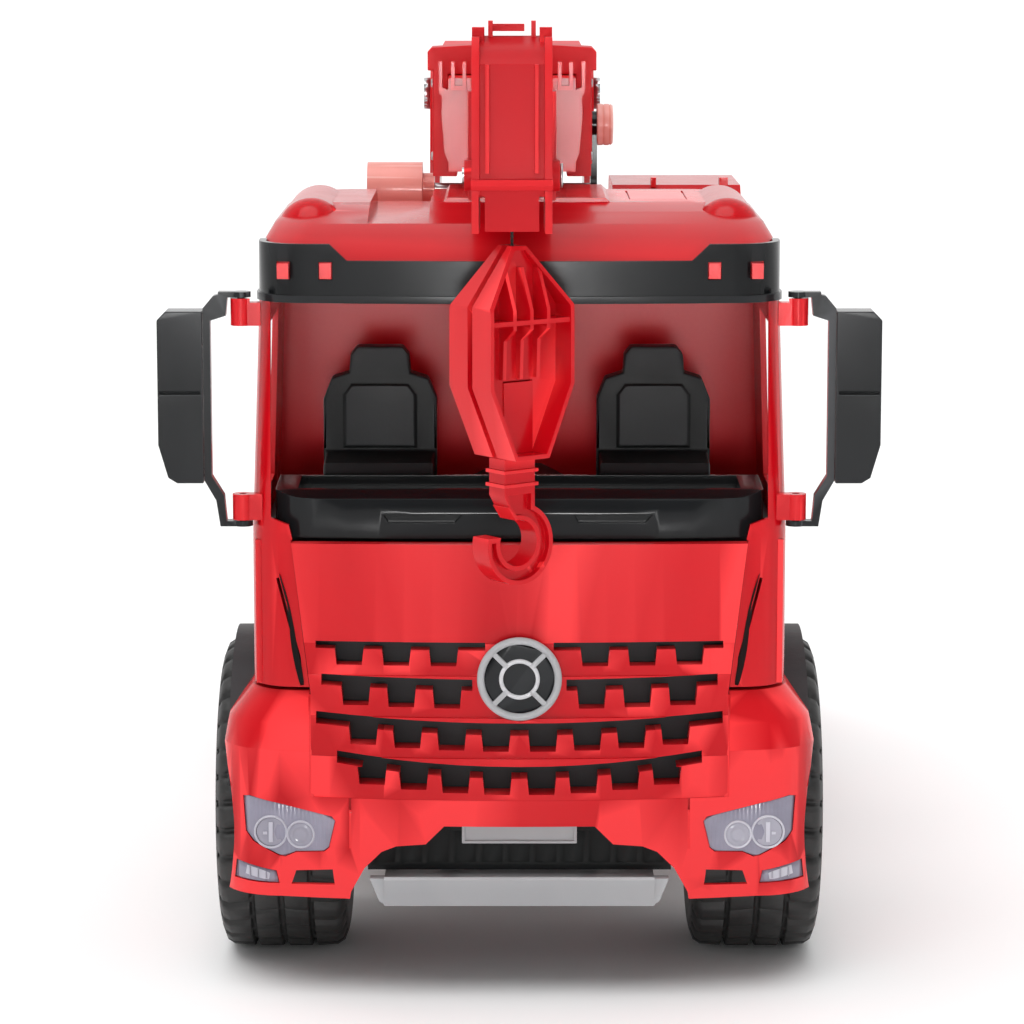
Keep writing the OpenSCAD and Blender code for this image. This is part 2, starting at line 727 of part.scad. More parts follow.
module operator_cab() {
    color(red) difference() {
        union() {
            along_x(op_x0, op_x1) polygon([[268, 173.3], [262, 205], [262, 216], [276, 306], [284, 312],
                [352, 312], [358, 306], [358, 173.3]]);
            block(62, 64.4, 280, 290, 311, 315.6);
            block(94, 98, 280, 290, 311, 315.6);
        }
        along_x(op_x0 + 2.4, op_x1 - 2.4) polygon([[270.4, 176], [264.6, 206], [264.6, 216], [278, 304],
            [286, 309.4], [350, 309.4], [355.4, 305], [355.4, 176]]);
        // windscreen, side windows and rear window
        along_y(250, 290) polygon([[op_x0 + 6, 222], [op_x1 - 6, 222], [op_x1 - 7, 300], [op_x0 + 7, 300]]);
        along_x(op_x0 - 1, op_x1 + 1) polygon([[278, 226], [306, 226], [306, 300], [290, 300]]);
        along_x(op_x0 - 1, op_x1 + 1) polygon([[312, 226], [348, 226], [348, 300], [312, 300]]);
        block(op_x0 + 10, op_x1 - 10, 350, 362, 236, 296);
        block(op_x1 - 0.8, op_x1 + 1, 311, 311.8, 180, 300);
    }
}

module boom_pivot_pin() {
    color(silver) union() {
        rod_x(pin_r, boom_x - cheek_in - cheek_t - 3, boom_x + cheek_in + cheek_t + 0.4, pivot_d, pivot_z);
        rod_x(8, boom_x - cheek_in - cheek_t - 3.4, boom_x - cheek_in - cheek_t - 0.3, pivot_d, pivot_z);
        rod_x(8, boom_x + cheek_in + cheek_t + 0.3, boom_x + cheek_in + cheek_t + 3.4, pivot_d, pivot_z);
    }
}

// ---------------------------------------------------------------- boom

mouth_d = 165;
boom_low = 324;
boom_top = 373;
boom_half = 34.6;
winch_d = 232;
winch_z = 314;
winch_r = 2.5;

// Open-bottomed boom section with inward lips
module channel(half, z0, z1, t, slot_half, d0, d1) {
    translate([boom_x, 0, 0]) along_y(d0, d1) difference() {
        polygon([[-half, z0], [half, z0], [half, z1], [-half, z1]]);
        polygon([[-half + t, z0 + t], [half - t, z0 + t], [half - t, z1 - t], [-half + t, z1 - t]]);
        translate([-slot_half, z0 - 1]) square([2 * slot_half, t + 2]);
    }
}

module boom_outer() {
    color(red) difference() {
        union() {
            channel(boom_half, boom_low, boom_top, wall, 24, mouth_d, pivot_d + 22);
            // crowned cap
            translate([boom_x, 0, 0]) along_y(mouth_d, mouth_d + 22) difference() {
                polygon([[-36.8, 370], [-36.8, 378], [-35, 380], [-8, 381.6], [8, 381.6], [35, 380],
                    [36.8, 378], [36.8, 370]]);
                square([2 * (boom_half - 1), 2 * (boom_top - 1)], center = true);
            }
            // frame round the middle section in the mouth
            translate([boom_x, 0, 0]) along_y(mouth_d, mouth_d + 2.4) difference() {
                polygon([[-boom_half + 1, boom_low + 1], [boom_half - 1, boom_low + 1],
                    [boom_half - 1, boom_top - 1], [-boom_half + 1, boom_top - 1]]);
                polygon([[-mid_half - slip, 300], [mid_half + slip, 300],
                    [mid_half + slip, mid_top + slip], [-mid_half - slip, mid_top + slip]]);
            }
            // stiffening ribs on the sides
            for (d = [186, 290, 380]) for (s = [-1, 1]) translate([boom_x + s * boom_half, 0, 0])
                block(-0.8, 0.8, d, d + 5, boom_low + 4, boom_top - 8);
            // ears that carry the winch
            for (x = [-20, 15.6]) along_x(boom_x + x, boom_x + x + 4.4)
                polygon([[winch_d - 22, boom_low + 2], [winch_d - 8, winch_z - 8],
                    [winch_d + 8, winch_z - 8], [winch_d + 22, boom_low + 2]]);
            for (x = [-28, 15.6]) block(boom_x + x, boom_x + x + 12.4, winch_d - 20, winch_d + 20,
                boom_low, boom_low + wall);
            // boss round the pivot
            for (x = [boom_x - boom_half, boom_x + boom_half - 6])
                rod_x(12, x, x + 6, pivot_d, pivot_z);
            block(boom_x - boom_half + 1, boom_x + boom_half - 1, pivot_d + 19, pivot_d + 22,
                boom_low, boom_top);
        }
        rod_x(pin_r + run_gap, -60, 60, pivot_d, pivot_z);
        rod_x(winch_r + run_gap, -60, 60, winch_d, winch_z);
        // shallow panels in the sides between the ribs
        for (s = [-1, 1]) for (d = [198, 300]) translate([boom_x + s * boom_half, 0, 0])
            block(-0.7, 0.7, d, d + 74, boom_low + 10, boom_top - 14);
    }
}

mid_half = 27.4;
mid_low = 328;
mid_top = 368;
mid_d0 = 136;
mid_d1 = 426;
// Fronts of the runners, clear of the frames in the mouths when slid out
mid_reach = mouth_d + 128;
inner_reach = mid_d0 + 116;

module boom_mid() {
    color(red) union() {
        channel(mid_half, mid_low, mid_top, 2.4, 9, mid_d0, mid_d1);
        // runners that guide it in the outer section
        for (s = [-1, 1]) translate([boom_x + s * 29.2, 0, 0]) {
            for (z = [boom_low + wall + slip, mid_top - 6])
                block(-2.2, 2.2, mid_reach, mid_d1, z, z + 5);
        }
        // frame round the inner section, and a collar with forked ears at the open end
        translate([boom_x, 0, 0]) along_y(mid_d0, mid_d0 + 2.4) difference() {
            polygon([[-mid_half + 1, mid_low + 1], [mid_half - 1, mid_low + 1],
                [mid_half - 1, mid_top - 1], [-mid_half + 1, mid_top - 1]]);
            polygon([[-17, 300], [17, 300], [17, inner_top + slip], [-17, inner_top + slip]]);
        }
        for (s = [-1, 1]) translate([boom_x, 0, 0]) mirror([s < 0 ? 1 : 0, 0, 0]) {
            along_y(mid_d0, mid_d0 + 8) polygon([[mid_half - 0.1, 332], [29, 336], [30.4, 352], [30, 360],
                [31.4, 362], [31.4, 375], [29.8, 375], [29.8, 364], [mid_half - 0.1, 363]]);
            along_y(mid_d0 - 5, mid_d0 + 0.1) polygon([[19.6, 363], [26, 363], [26, 375], [24.4, 375],
                [24.4, 365], [21.2, 365], [21.2, 375], [19.6, 375]]);
        }
    }
}

inner_half = 16.2;
inner_low = mid_low + 2.4 + slip;
inner_top = mid_top - 2.4 - slip;
inner_d0 = -22;

module boom_inner() {
    color(red) union() {
        channel(inner_half, inner_low, inner_top, 2.2, 4, inner_d0, 410);
        // runners that guide it in the middle section
        for (s = [-1, 1]) translate([boom_x + s * 20.2, 0, 0]) {
            block(-4.2, 4.2, inner_reach, 410, inner_low, inner_low + 4);
            block(-4.2, 4.2, inner_reach, 410, inner_top - 4, inner_top);
        }
    }
}

sheave_d = -hook_reach + 10.3;
sheave_z = 338;
sheave_r = 9.4;

module nose_cheek() {
    along_x(12.4, 15.4) polygon([[-54, 317], [-56.4, 333], [-55, 338], [-51.6, 380], [-44, 391],
        [-22.2, 391], [-22.2, 330], [-28, 317]]);
}

module boom_nose() {
    color(red) translate([boom_x, 0, 0]) difference() {
        union() {
            both_sides() nose_cheek();
            // front plates between the cheeks: lower face, long panel and sloping top
            along_x(-12.5, 12.5) polygon([[-51.2, 317.6], [-53.4, 334], [-50.6, 334], [-48.2, 317.6]]);
            along_x(-12.5, 12.5) polygon([[-53.4, 336], [-49.4, 381], [-46.4, 381], [-50.6, 334],
                [-53.4, 334]]);
            along_x(-12.5, 12.5) polygon([[-49.4, 381], [-44, 386], [-26, 391], [-26, 388.4],
                [-43, 383.4], [-46.6, 379]]);
            // ridge between the two faces
            along_x(-15.6, 15.6) polygon([[-57.4, 335.4], [-56.4, 337.6], [-52, 337.6], [-52, 333.6],
                [-56.4, 333.6]]);
            // proud strips beside the long panel
            both_sides() along_x(8.6, 10.2) polygon([[-55, 340], [-51.6, 381], [-48, 381], [-52, 340]]);
            // ears, posts and guard bar at the top
            both_sides() along_x(10.6, 15.4) polygon([[-34, 388], [-33, 394.4], [-24, 394.4], [-24, 388]]);
            both_sides() block(7.4, 9.2, -28, -22, 388, 396.8);
            block(-9.2, 4.8, -27, -23.4, 392.8, 395.6);
            // back plate that closes on the inner boom
            difference() {
                block(-12.5, 12.5, -24, -22.2, 340, 391);
                block(-2, 2, -26, -20, 338, 352);
            }
            both_sides() block(13.4, inner_half + 0.8, -32, -22.2, 328, 370);
            // side bosses round the sheave pin
            both_sides() rod_x(6, 15.3, 18.4, sheave_d, sheave_z);
        }
        rod_x(3 + 0.001, -30, 30, sheave_d, sheave_z);
        both_sides() block(10.4, 12.6, -60, -48, 316, 331);
    }
}

module sheave_pin() {
    color(silver) union() {
        rod_x(3, boom_x - 19.2, boom_x + 18.8, sheave_d, sheave_z);
        rod_x(4.6, boom_x + 18.5, boom_x + 19.6, sheave_d, sheave_z);
    }
}

module sheave() {
    color(black) translate([boom_x - 4.6, front_y + sheave_d, sheave_z]) rotate([0, 90, 0]) difference() {
        rotate_extrude() polygon([[3 + run_gap, 0], [sheave_r + 2, 0], [sheave_r + 2, 1.6],
            [sheave_r, 4.6], [sheave_r + 2, 7.6], [sheave_r + 2, 9.2], [3 + run_gap, 9.2]]);
        for (a = [0:60:300]) rotate([0, 0, a]) translate([6.2, 0, -1]) cylinder(r = 1.4, h = 12);
    }
}

// ---------------------------------------------------------------- hook

hook_x = boom_x;
hook_d = -hook_reach;
block_top = 312;
string_r = 0.65;

module hoist_string() {
    color([0.12, 0.1, 0.1]) union() {
        back(hook_d, block_top - 9) translate([hook_x, 0, 0])
            cylinder(r = string_r, h = sheave_z - block_top + 9, $fn = 24);
        back(hook_d, block_top - 12.6) translate([hook_x, 0, 0]) sphere(r = 2.4, $fn = 24);
        back(hook_d, block_top - 12) translate([hook_x, 0, 0]) cylinder(r = 1.2, h = 4, $fn = 24);
    }
}

// String from the sheave back through the inner boom
run_z = sheave_z + 10.3;
leg_d = winch_d - 8.9;

module string_run() {
    color([0.12, 0.1, 0.1]) union() {
        translate([hook_x, front_y + sheave_d, sheave_z]) rotate([0, 90, 0]) rotate([0, 0, 180])
            rotate_extrude(angle = 90) translate([10.3, 0]) circle(string_r, $fn = 24);
        translate([hook_x, front_y + leg_d, run_z]) rotate([90, 0, 0])
            cylinder(r = string_r, h = leg_d - sheave_d, $fn = 24);
    }
}

// String from the drum up into the boom
module string_leg() {
    color([0.12, 0.1, 0.1]) back(leg_d, winch_z) translate([hook_x, 0, 0])
        cylinder(r = string_r, h = run_z - winch_z - 1, $fn = 24);
}

// Place in the hook's own frame: x across the block, y through it
module hook_frame() {
    translate([hook_x, front_y + hook_d, block_top]) rotate([0, 0, hook_turn]) children();
}

block_half = 20.4;
block_t = 13;
block_outline = [[-3.4, 0], [3.4, 0], [block_half, -22.6], [block_half, -53.6], [8.2, -81.6],
    [-8.2, -81.6], [-block_half, -53.6], [-block_half, -22.6]];

// Front half of the block: tray with ribs, its mouth facing -y
module block_half_shell() {
    difference() {
        intersection() {
            rotate([90, 0, 0]) linear_extrude(block_t) polygon(block_outline);
            rotate([90, 0, 90]) linear_extrude(60, center = true)
                polygon([[-1.5, 1], [-4, 1], [-block_t, -24], [-block_t, -82], [-1.5, -82]]);
        }
        // hollow of the tray, leaving the back plate and the rim
        translate([0, -3.4, 0]) rotate([90, 0, 0]) linear_extrude(block_t)
            offset(delta = -1.7) polygon(block_outline);
        // channel for the string's knot
        translate([0, 0, -17]) cylinder(r = 3, h = 7);
        translate([0, 0, -12]) cylinder(r = 1.7, h = 14);
        // seat of the claw's stem
        translate([-7.1, -4.15, -84]) cube([14.2, 5, 32.2]);
    }
    // cross rib, sloping face above it and upright ribs
    intersection() {
        union() {
            translate([-block_half, -block_t, -29.6]) cube([2 * block_half, block_t - 3, 1.8]);
            for (x = [-9, -0.8, 7.4]) translate([x, -block_t, -51]) cube([1.6, block_t - 3, 43]);
        }
        translate([0, -3.3, 0]) rotate([90, 0, 0]) linear_extrude(block_t)
            offset(delta = -1.6) polygon(block_outline);
        rotate([90, 0, 90]) linear_extrude(60, center = true)
            polygon([[-3, -6], [-5.4, -6], [-block_t + 0.6, -24], [-block_t + 0.6, -31.4], [-6.4, -36],
                [-5.4, -60], [-3, -60]]);
    }
    // bosses that meet the other half
    for (p = [[-12, -33], [12, -33], [-12, -48], [12, -48]]) translate([p[0], 0, p[1]])
        rotate([90, 0, 0]) cylinder(r = 3, h = 3);
}

module hook_block_front() {
    color(red) hook_frame() block_half_shell();
}

module hook_block_rear() {
    color(red) hook_frame() rotate([0, 0, 180]) block_half_shell();
}

claw_t = 10;
claw_r = 16;
claw_z = -115.6;
claw_x = 0.4;

module claw_outline(g) {
    difference() {
        union() {
            translate([claw_x, claw_z]) circle(claw_r - g);
            polygon([[-7.4 + g, -82 - g], [7.4 - g, -82 - g], [7.4 - g, claw_z + 12], [10, claw_z + 8],
                [-2, claw_z + 10], [-7.4 + g, claw_z + 19]]);
        }
        translate([claw_x - 1, claw_z + 0.6]) circle(9 + g);
        polygon([[-24, claw_z + 3.5 - g], [claw_x - 3, claw_z + 3.5 - g], [-1 + g, claw_z + 8],
            [-7.4 + g, claw_z + 17.5], [-24, claw_z + 17.5]]);
    }
}

module hook_claw() {
    color(red) hook_frame() difference() {
        union() {
            rotate([90, 0, 0]) linear_extrude(claw_t, center = true) claw_outline(0);
            // stem held between the two halves of the block
            translate([-7, -4, -82.2]) cube([14, 8, 29.8]);
            for (z = [-87.6, -93]) translate([-8.4, -claw_t / 2 - 1, z]) cube([16.8, claw_t + 2, 1.4]);
        }
        for (s = [-1, 1]) translate([0, s * claw_t / 2, 0]) rotate([90, 0, 0])
            linear_extrude(5, center = true) intersection() {
                claw_outline(1.9);
                translate([-30, -136]) square([60, 40]);
            }
    }
}

// ---------------------------------------------------------------- winch

module winch_shaft() {
    color(silver) rod_x(winch_r, boom_x - 43.4, boom_x + 38.6, winch_d, winch_z);
}

module winch_drum() {
    color(black) translate([boom_x - 15.2, front_y + winch_d, winch_z]) rotate([0, 90, 0])
        rotate_extrude() polygon([[winch_r, 0], [9.4, 0], [9.4, 2], [5, 2], [5, 28.4], [9.4, 28.4],
            [9.4, 30.4], [winch_r, 30.4]]);
}

module winch_string() {
    color([0.12, 0.1, 0.1]) translate([boom_x - 13, front_y + winch_d, winch_z]) rotate([0, 90, 0])
        rotate_extrude() difference() {
            translate([5.02, 0]) square([3, 26]);
            for (k = [0:12]) translate([8.9, 1 + k * 2]) circle(1.1, $fn = 16);
        }
}

module winch_knob() {
    color(red) translate([boom_x - 65.6, front_y + winch_d, winch_z]) rotate([0, 90, 0]) difference() {
        union() {
            cylinder(r = 12, h = 25);
            cylinder(r = 7, h = 30.4);
        }
        translate([0, 0, 22]) cylinder(r = winch_r, h = 20);
        translate([0, 0, -1]) cylinder(r = 9, h = 6);
    }
}

crank_len = 29;

module crank_arm() {
    color(black) union() {
        difference() {
            union() {
                rod_x(6, boom_x + 35.6, boom_x + 38.6, winch_d, winch_z);
                block(boom_x + 35.6, boom_x + 38.6, winch_d - 4, winch_d + 4, winch_z, winch_z + crank_len);
                rod_x(6, boom_x + 35.6, boom_x + 38.6, winch_d, winch_z + crank_len);
            }
            rod_x(winch_r, 0, 60, winch_d, winch_z);
        }
        rod_x(8.6, boom_x + 38.5, boom_x + 45.4, winch_d, winch_z + crank_len);
    }
}

chassis_frame();
cab_shell();
cab_roof();
sun_visor();
front_bumper();
front_grille();
grille_backing();
badge_ring();
badge_disc();
front_lamps();
number_plate();
skid_plate();
dashboard();
seat_left();
seat_right();
cab_floor();
front_mudguards();
crane_deck();
rear_mudguards();
tail_lights();
rear_bumper();
fuel_tank();
battery_box();
turntable_ring();
mirror_bracket_left();
mirror_housing_left();
mirror_bracket_right();
mirror_housing_right();
outrigger_left();
outrigger_right();
front_axle();
front_rims();
front_tyres();
middle_axle();
middle_rims();
middle_tyres();
rear_axle();
rear_rims();
rear_tyres();
superstructure();
operator_cab();
counterweight();
boom_pivot_pin();
boom_outer();
boom_mid();
boom_inner();
boom_nose();
sheave_pin();
sheave();
hoist_string();
string_run();
string_leg();
hook_block_front();
hook_block_rear();
hook_claw();
winch_drum();
winch_string();
winch_shaft();
winch_knob();
crank_arm();
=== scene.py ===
import json
import math

import bmesh
import bpy
from mathutils import Matrix, Vector
from mathutils.bvhtree import BVHTree


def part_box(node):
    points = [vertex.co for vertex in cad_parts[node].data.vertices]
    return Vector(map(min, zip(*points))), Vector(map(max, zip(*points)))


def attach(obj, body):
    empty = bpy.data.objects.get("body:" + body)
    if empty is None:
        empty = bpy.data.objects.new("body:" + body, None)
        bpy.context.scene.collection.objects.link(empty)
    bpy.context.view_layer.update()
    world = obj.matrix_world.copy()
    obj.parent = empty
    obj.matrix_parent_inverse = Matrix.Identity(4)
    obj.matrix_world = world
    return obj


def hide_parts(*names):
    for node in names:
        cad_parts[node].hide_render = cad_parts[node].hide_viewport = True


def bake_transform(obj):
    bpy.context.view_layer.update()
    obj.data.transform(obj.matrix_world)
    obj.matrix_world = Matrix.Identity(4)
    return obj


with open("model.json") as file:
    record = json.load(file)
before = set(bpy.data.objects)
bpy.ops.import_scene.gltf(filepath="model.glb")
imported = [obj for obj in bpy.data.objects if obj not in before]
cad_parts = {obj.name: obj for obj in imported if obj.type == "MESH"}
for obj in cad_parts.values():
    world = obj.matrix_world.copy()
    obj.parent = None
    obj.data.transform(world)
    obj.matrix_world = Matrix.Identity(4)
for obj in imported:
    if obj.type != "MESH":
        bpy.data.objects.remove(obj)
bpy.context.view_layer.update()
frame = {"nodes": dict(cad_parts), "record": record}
nodes = frame["nodes"]
MM = 0.001


# ---------------------------------------------------------------- helpers

def low(node):
    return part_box(node)[0]


def high(node):
    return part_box(node)[1]


def middle(node):
    lo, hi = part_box(node)
    return (lo + hi) / 2


front_y = low("front_bumper").y
floor_z = low("front_tyres").z


def at(x, d, z):
    """A point from its x, distance behind the bumper's front face and z, in millimetres."""
    return Vector((x * MM, front_y + d * MM, z * MM))


# ---------------------------------------------------------------- camera

CAMERA_AHEAD = 1.5
CAMERA_HEIGHT = 0.437
CAMERA_PITCH = 8.93
FOCAL_PIXELS = 3800
FRAME_PIXELS = 1024
SENSOR = 36.0


def make_camera():
    data = bpy.data.cameras.new("camera")
    data.sensor_width = SENSOR
    data.lens = SENSOR * FOCAL_PIXELS / FRAME_PIXELS
    data.clip_end = 50
    camera = bpy.data.objects.new("camera", data)
    camera.location = (middle("boom_outer").x, front_y - CAMERA_AHEAD, CAMERA_HEIGHT)
    camera.rotation_euler = (math.radians(90 - CAMERA_PITCH), 0, 0)
    bpy.context.scene.collection.objects.link(camera)
    bpy.context.scene.camera = camera


make_camera()


# ---------------------------------------------------------------- materials

class Shader:
    """A material's node tree, built a node at a time."""

    def __init__(self, name):
        self.material = bpy.data.materials.new(name)
        self.material.use_nodes = True
        self.tree = self.material.node_tree
        self.bsdf = self.tree.nodes["Principled BSDF"]
        coords = self.tree.nodes.new("ShaderNodeTexCoord")
        self.coords = coords.outputs["Object"]

    def set(self, **values):
        """Sets the shader's own inputs, with _ for each space in their names."""
        for key, value in values.items():
            self.bsdf.inputs[key.replace("_", " ")].default_value = value

    def link(self, source, target):
        self.tree.links.new(source, target)

    def noise(self, scale, detail=3.0, rough=0.5, coords=None):
        node = self.tree.nodes.new("ShaderNodeTexNoise")
        node.inputs["Scale"].default_value = scale
        node.inputs["Detail"].default_value = detail
        node.inputs["Roughness"].default_value = rough
        self.link(coords or self.coords, node.inputs["Vector"])
        return node.outputs["Fac"]

    def stretched(self, x, y, z):
        node = self.tree.nodes.new("ShaderNodeMapping")
        node.inputs["Scale"].default_value = (x, y, z)
        self.link(self.coords, node.inputs["Vector"])
        return node.outputs["Vector"]

    def ramp(self, source, stops):
        node = self.tree.nodes.new("ShaderNodeValToRGB")
        elements = node.color_ramp.elements
        while len(elements) < len(stops):
            elements.new(0.5)
        for element, (place, colour) in zip(elements, stops):
            element.position = place
            element.color = (*colour, 1)
        self.link(source, node.inputs["Fac"])
        return node.outputs["Color"]

    def span(self, source, low_value, high_value):
        node = self.tree.nodes.new("ShaderNodeMapRange")
        node.inputs["To Min"].default_value = low_value
        node.inputs["To Max"].default_value = high_value
        self.link(source, node.inputs["Value"])
        return node.outputs["Result"]

    def bump(self, source, strength, distance):
        node = self.tree.nodes.new("ShaderNodeBump")
        node.inputs["Strength"].default_value = strength
        node.inputs["Distance"].default_value = distance
        self.link(source, node.inputs["Height"])
        self.link(node.outputs["Normal"], self.bsdf.inputs["Normal"])

    def edges(self, low_value, high_value):
        """0 on flat stretches, rising on convex edges, from the surface's pointiness."""
        node = self.tree.nodes.new("ShaderNodeNewGeometry")
        spread = self.tree.nodes.new("ShaderNodeMapRange")
        spread.inputs["From Min"].default_value = low_value
        spread.inputs["From Max"].default_value = high_value
        self.link(node.outputs["Pointiness"], spread.inputs["Value"])
        return spread.outputs["Result"]

    def mix(self, factor, first, second):
        node = self.tree.nodes.new("ShaderNodeMix")
        node.data_type = "RGBA"
        self.link(factor, node.inputs["Factor"])
        for value, socket in ((first, node.inputs["A"]), (second, node.inputs["B"])):
            if isinstance(value, tuple):
                socket.default_value = (*value, 1)
            else:
                self.link(value, socket)
        return node.outputs["Result"]


def moulded_plastic(name, dark, light, rough, grain=0.06, coat=0.35, edge=None):
    """Injection-moulded plastic: faint flow marks, fine haze and a painted highlight, a lighter colour on
    convex edges.
    """
    s = Shader(name)
    flow = s.noise(9, 4, 0.55, s.stretched(1, 1, 0.45))
    colour = s.ramp(flow, [(0.3, dark), (0.72, light)])
    # edge is a lighter copy of the colour, mixed in on convex edges as a painted highlight
    if edge:
        colour = s.mix(s.edges(0.52, 0.62), colour, edge)
    s.link(colour, s.bsdf.inputs["Base Color"])
    haze = s.noise(70, 5, 0.6)
    s.link(s.span(haze, rough * 0.8, rough * 1.25), s.bsdf.inputs["Roughness"])
    s.bump(s.noise(420, 2, 0.5), grain, 0.0002)
    s.set(IOR=1.5, Specular_IOR_Level=0.17, Coat_Weight=coat, Coat_Roughness=0.08)
    return s.material


# Each edge colour below is a painted highlight on convex edges, lighter than its plastic
red_plastic = moulded_plastic("red_plastic", (0.46, 0.002, 0.006), (0.56, 0.003, 0.009), 0.2,
                              coat=0.07, edge=(0.9, 0.04, 0.045))
red_matt = moulded_plastic("red_plastic_satin", (0.45, 0.002, 0.006), (0.54, 0.003, 0.009), 0.42,
                           grain=0.15, coat=0.0, edge=(0.88, 0.035, 0.04))
black_plastic = moulded_plastic("black_plastic", (0.004, 0.0045, 0.005), (0.008, 0.009, 0.01), 0.16,
                                coat=0.06, edge=(0.05, 0.052, 0.056))
black_satin = moulded_plastic("black_plastic_satin", (0.005, 0.006, 0.006), (0.011, 0.012, 0.012), 0.45,
                              grain=0.35, coat=0.0, edge=(0.045, 0.047, 0.05))
silver_plastic = moulded_plastic("silver_plastic", (0.34, 0.345, 0.36), (0.44, 0.445, 0.455), 0.36,
                                 coat=0.15, edge=(0.6, 0.6, 0.62))


def tyre_plastic():
    s = Shader("tyre_plastic")
    dust = s.noise(28, 6, 0.7)
    colour = s.ramp(dust, [(0.35, (0.012, 0.012, 0.012)), (0.75, (0.03, 0.029, 0.028))])
    s.link(colour, s.bsdf.inputs["Base Color"])
    s.link(s.span(s.noise(90, 4), 0.42, 0.62), s.bsdf.inputs["Roughness"])
    s.bump(s.noise(600, 3), 0.25, 0.0003)
    return s.material


def metal(name, colour, rough, bright):
    s = Shader(name)
    streaks = s.noise(160, 3, 0.6, s.stretched(0.05, 1, 1))
    s.link(s.ramp(streaks, [(0.3, colour), (0.7, bright)]), s.bsdf.inputs["Base Color"])
    s.link(s.span(streaks, rough * 0.7, rough * 1.4), s.bsdf.inputs["Roughness"])
    s.bump(streaks, 0.08, 0.0001)
    s.set(Metallic=1.0)
    return s.material


def lamp_lens():
    """Grey-violet lens over a moulded grid of small ribs."""
    s = Shader("lamp_lens")
    wave = s.tree.nodes.new("ShaderNodeTexWave")
    wave.inputs["Scale"].default_value = 190
    wave.inputs["Distortion"].default_value = 0.2
    s.link(s.coords, wave.inputs["Vector"])
    clouds = s.noise(40, 4)
    s.link(s.ramp(clouds, [(0.3, (0.20, 0.19, 0.26)), (0.7, (0.31, 0.295, 0.38))]),
           s.bsdf.inputs["Base Color"])
    s.bump(wave.outputs["Fac"], 0.25, 0.0004)
    s.link(s.span(clouds, 0.12, 0.2), s.bsdf.inputs["Roughness"])
    s.set(Coat_Weight=0.8, Coat_Roughness=0.03)
    return s.material


def cord_material():
    s = Shader("twisted_cord")
    wave = s.tree.nodes.new("ShaderNodeTexWave")
    wave.bands_direction = "DIAGONAL"
    wave.inputs["Scale"].default_value = 500
    s.link(s.coords, wave.inputs["Vector"])
    s.link(s.ramp(wave.outputs["Fac"], [(0.2, (0.012, 0.008, 0.008)), (0.8, (0.05, 0.035, 0.035))]),
           s.bsdf.inputs["Base Color"])
    s.bump(wave.outputs["Fac"], 0.6, 0.0004)
    s.set(Roughness=0.85)
    return s.material


tyre = tyre_plastic()
steel = metal("axle_steel", (0.42, 0.43, 0.44), 0.3, (0.6, 0.61, 0.62))
lens = lamp_lens()
cord = cord_material()
tail_plastic = moulded_plastic("tail_plastic", (0.16, 0.004, 0.005), (0.26, 0.006, 0.008), 0.15,
                               coat=0.8)
reflector = moulded_plastic("lamp_reflector", (0.30, 0.29, 0.35), (0.42, 0.41, 0.48), 0.18, coat=0.6)
lamp_ring = moulded_plastic("lamp_ring", (0.46, 0.45, 0.52), (0.6, 0.59, 0.66), 0.2, coat=0.5)
# Pale red that paints the blown-out highlight on the winch knob and the crank grip, with a painted highlight
# on its edges too
painted_highlight_red = moulded_plastic("red_plastic_painted_highlight", (0.72, 0.24, 0.20), (0.80, 0.34, 0.29), 0.3, coat=0.2,
                            edge=(0.9, 0.6, 0.55))
# Near-black sheet that paints the shadow inside the gaps beside the bonnet
gap_painted_shadow = moulded_plastic("gap_shadow", (0.002, 0.002, 0.002), (0.012, 0.002, 0.002), 0.7, coat=0.0)
mirror_foil = metal("mirror_foil", (0.7, 0.71, 0.73), 0.06, (0.78, 0.79, 0.8))

# The material of each slot, and the nodes that get another one
BY_SLOT = {"red_plastic": red_plastic, "black_plastic": black_plastic, "silver_plastic": silver_plastic,
           "lamp_plastic": lens, "tail_plastic": tail_plastic, "tyre": tyre, "axle_steel": steel,
           "string": cord}
BY_NODE = {"seat_left": black_satin, "seat_right": black_satin, "chassis_frame": black_satin,
           "front_mudguards": black_satin, "rear_mudguards": black_satin, "cab_floor": black_satin,
           "battery_box": black_satin, "crane_deck": red_matt, "grille_backing": black_satin,
           "sheave": black_satin, "winch_knob": painted_highlight_red, "turntable_ring": black_satin,
           "counterweight": black_satin, "boom_inner": red_matt, "boom_outer": red_matt,
           "boom_nose": red_matt}


# ---------------------------------------------------------------- CAD nodes

SMOOTH_ANGLE = math.radians(32)
BEVELS = {"cab_shell": 0.9, "cab_roof": 0.8, "sun_visor": 0.9, "front_bumper": 0.7, "front_grille": 0.45,
          "dashboard": 1.3, "seat_left": 2.2, "seat_right": 2.2, "skid_plate": 0.6,
          "mirror_housing_left": 1.6, "mirror_housing_right": 1.6, "mirror_bracket_left": 0.8,
          "mirror_bracket_right": 0.8, "superstructure": 1.2, "operator_cab": 1.0,
          "counterweight": 1.6, "boom_outer": 0.7, "boom_mid": 0.5, "boom_inner": 0.6,
          "boom_nose": 0.5, "hook_block_front": 0.45, "hook_block_rear": 0.45, "hook_claw": 0.7,
          "crane_deck": 1.0, "fuel_tank": 0.8, "battery_box": 1.0, "winch_knob": 1.0,
          "crank_arm": 0.6, "chassis_frame": 0.8, "outrigger_left": 0.9, "outrigger_right": 0.9,
          "rear_bumper": 0.9, "number_plate": 0.3}


slot_of = {part["node"]: part["material_slot"] for part in frame["record"]["subparts"]}


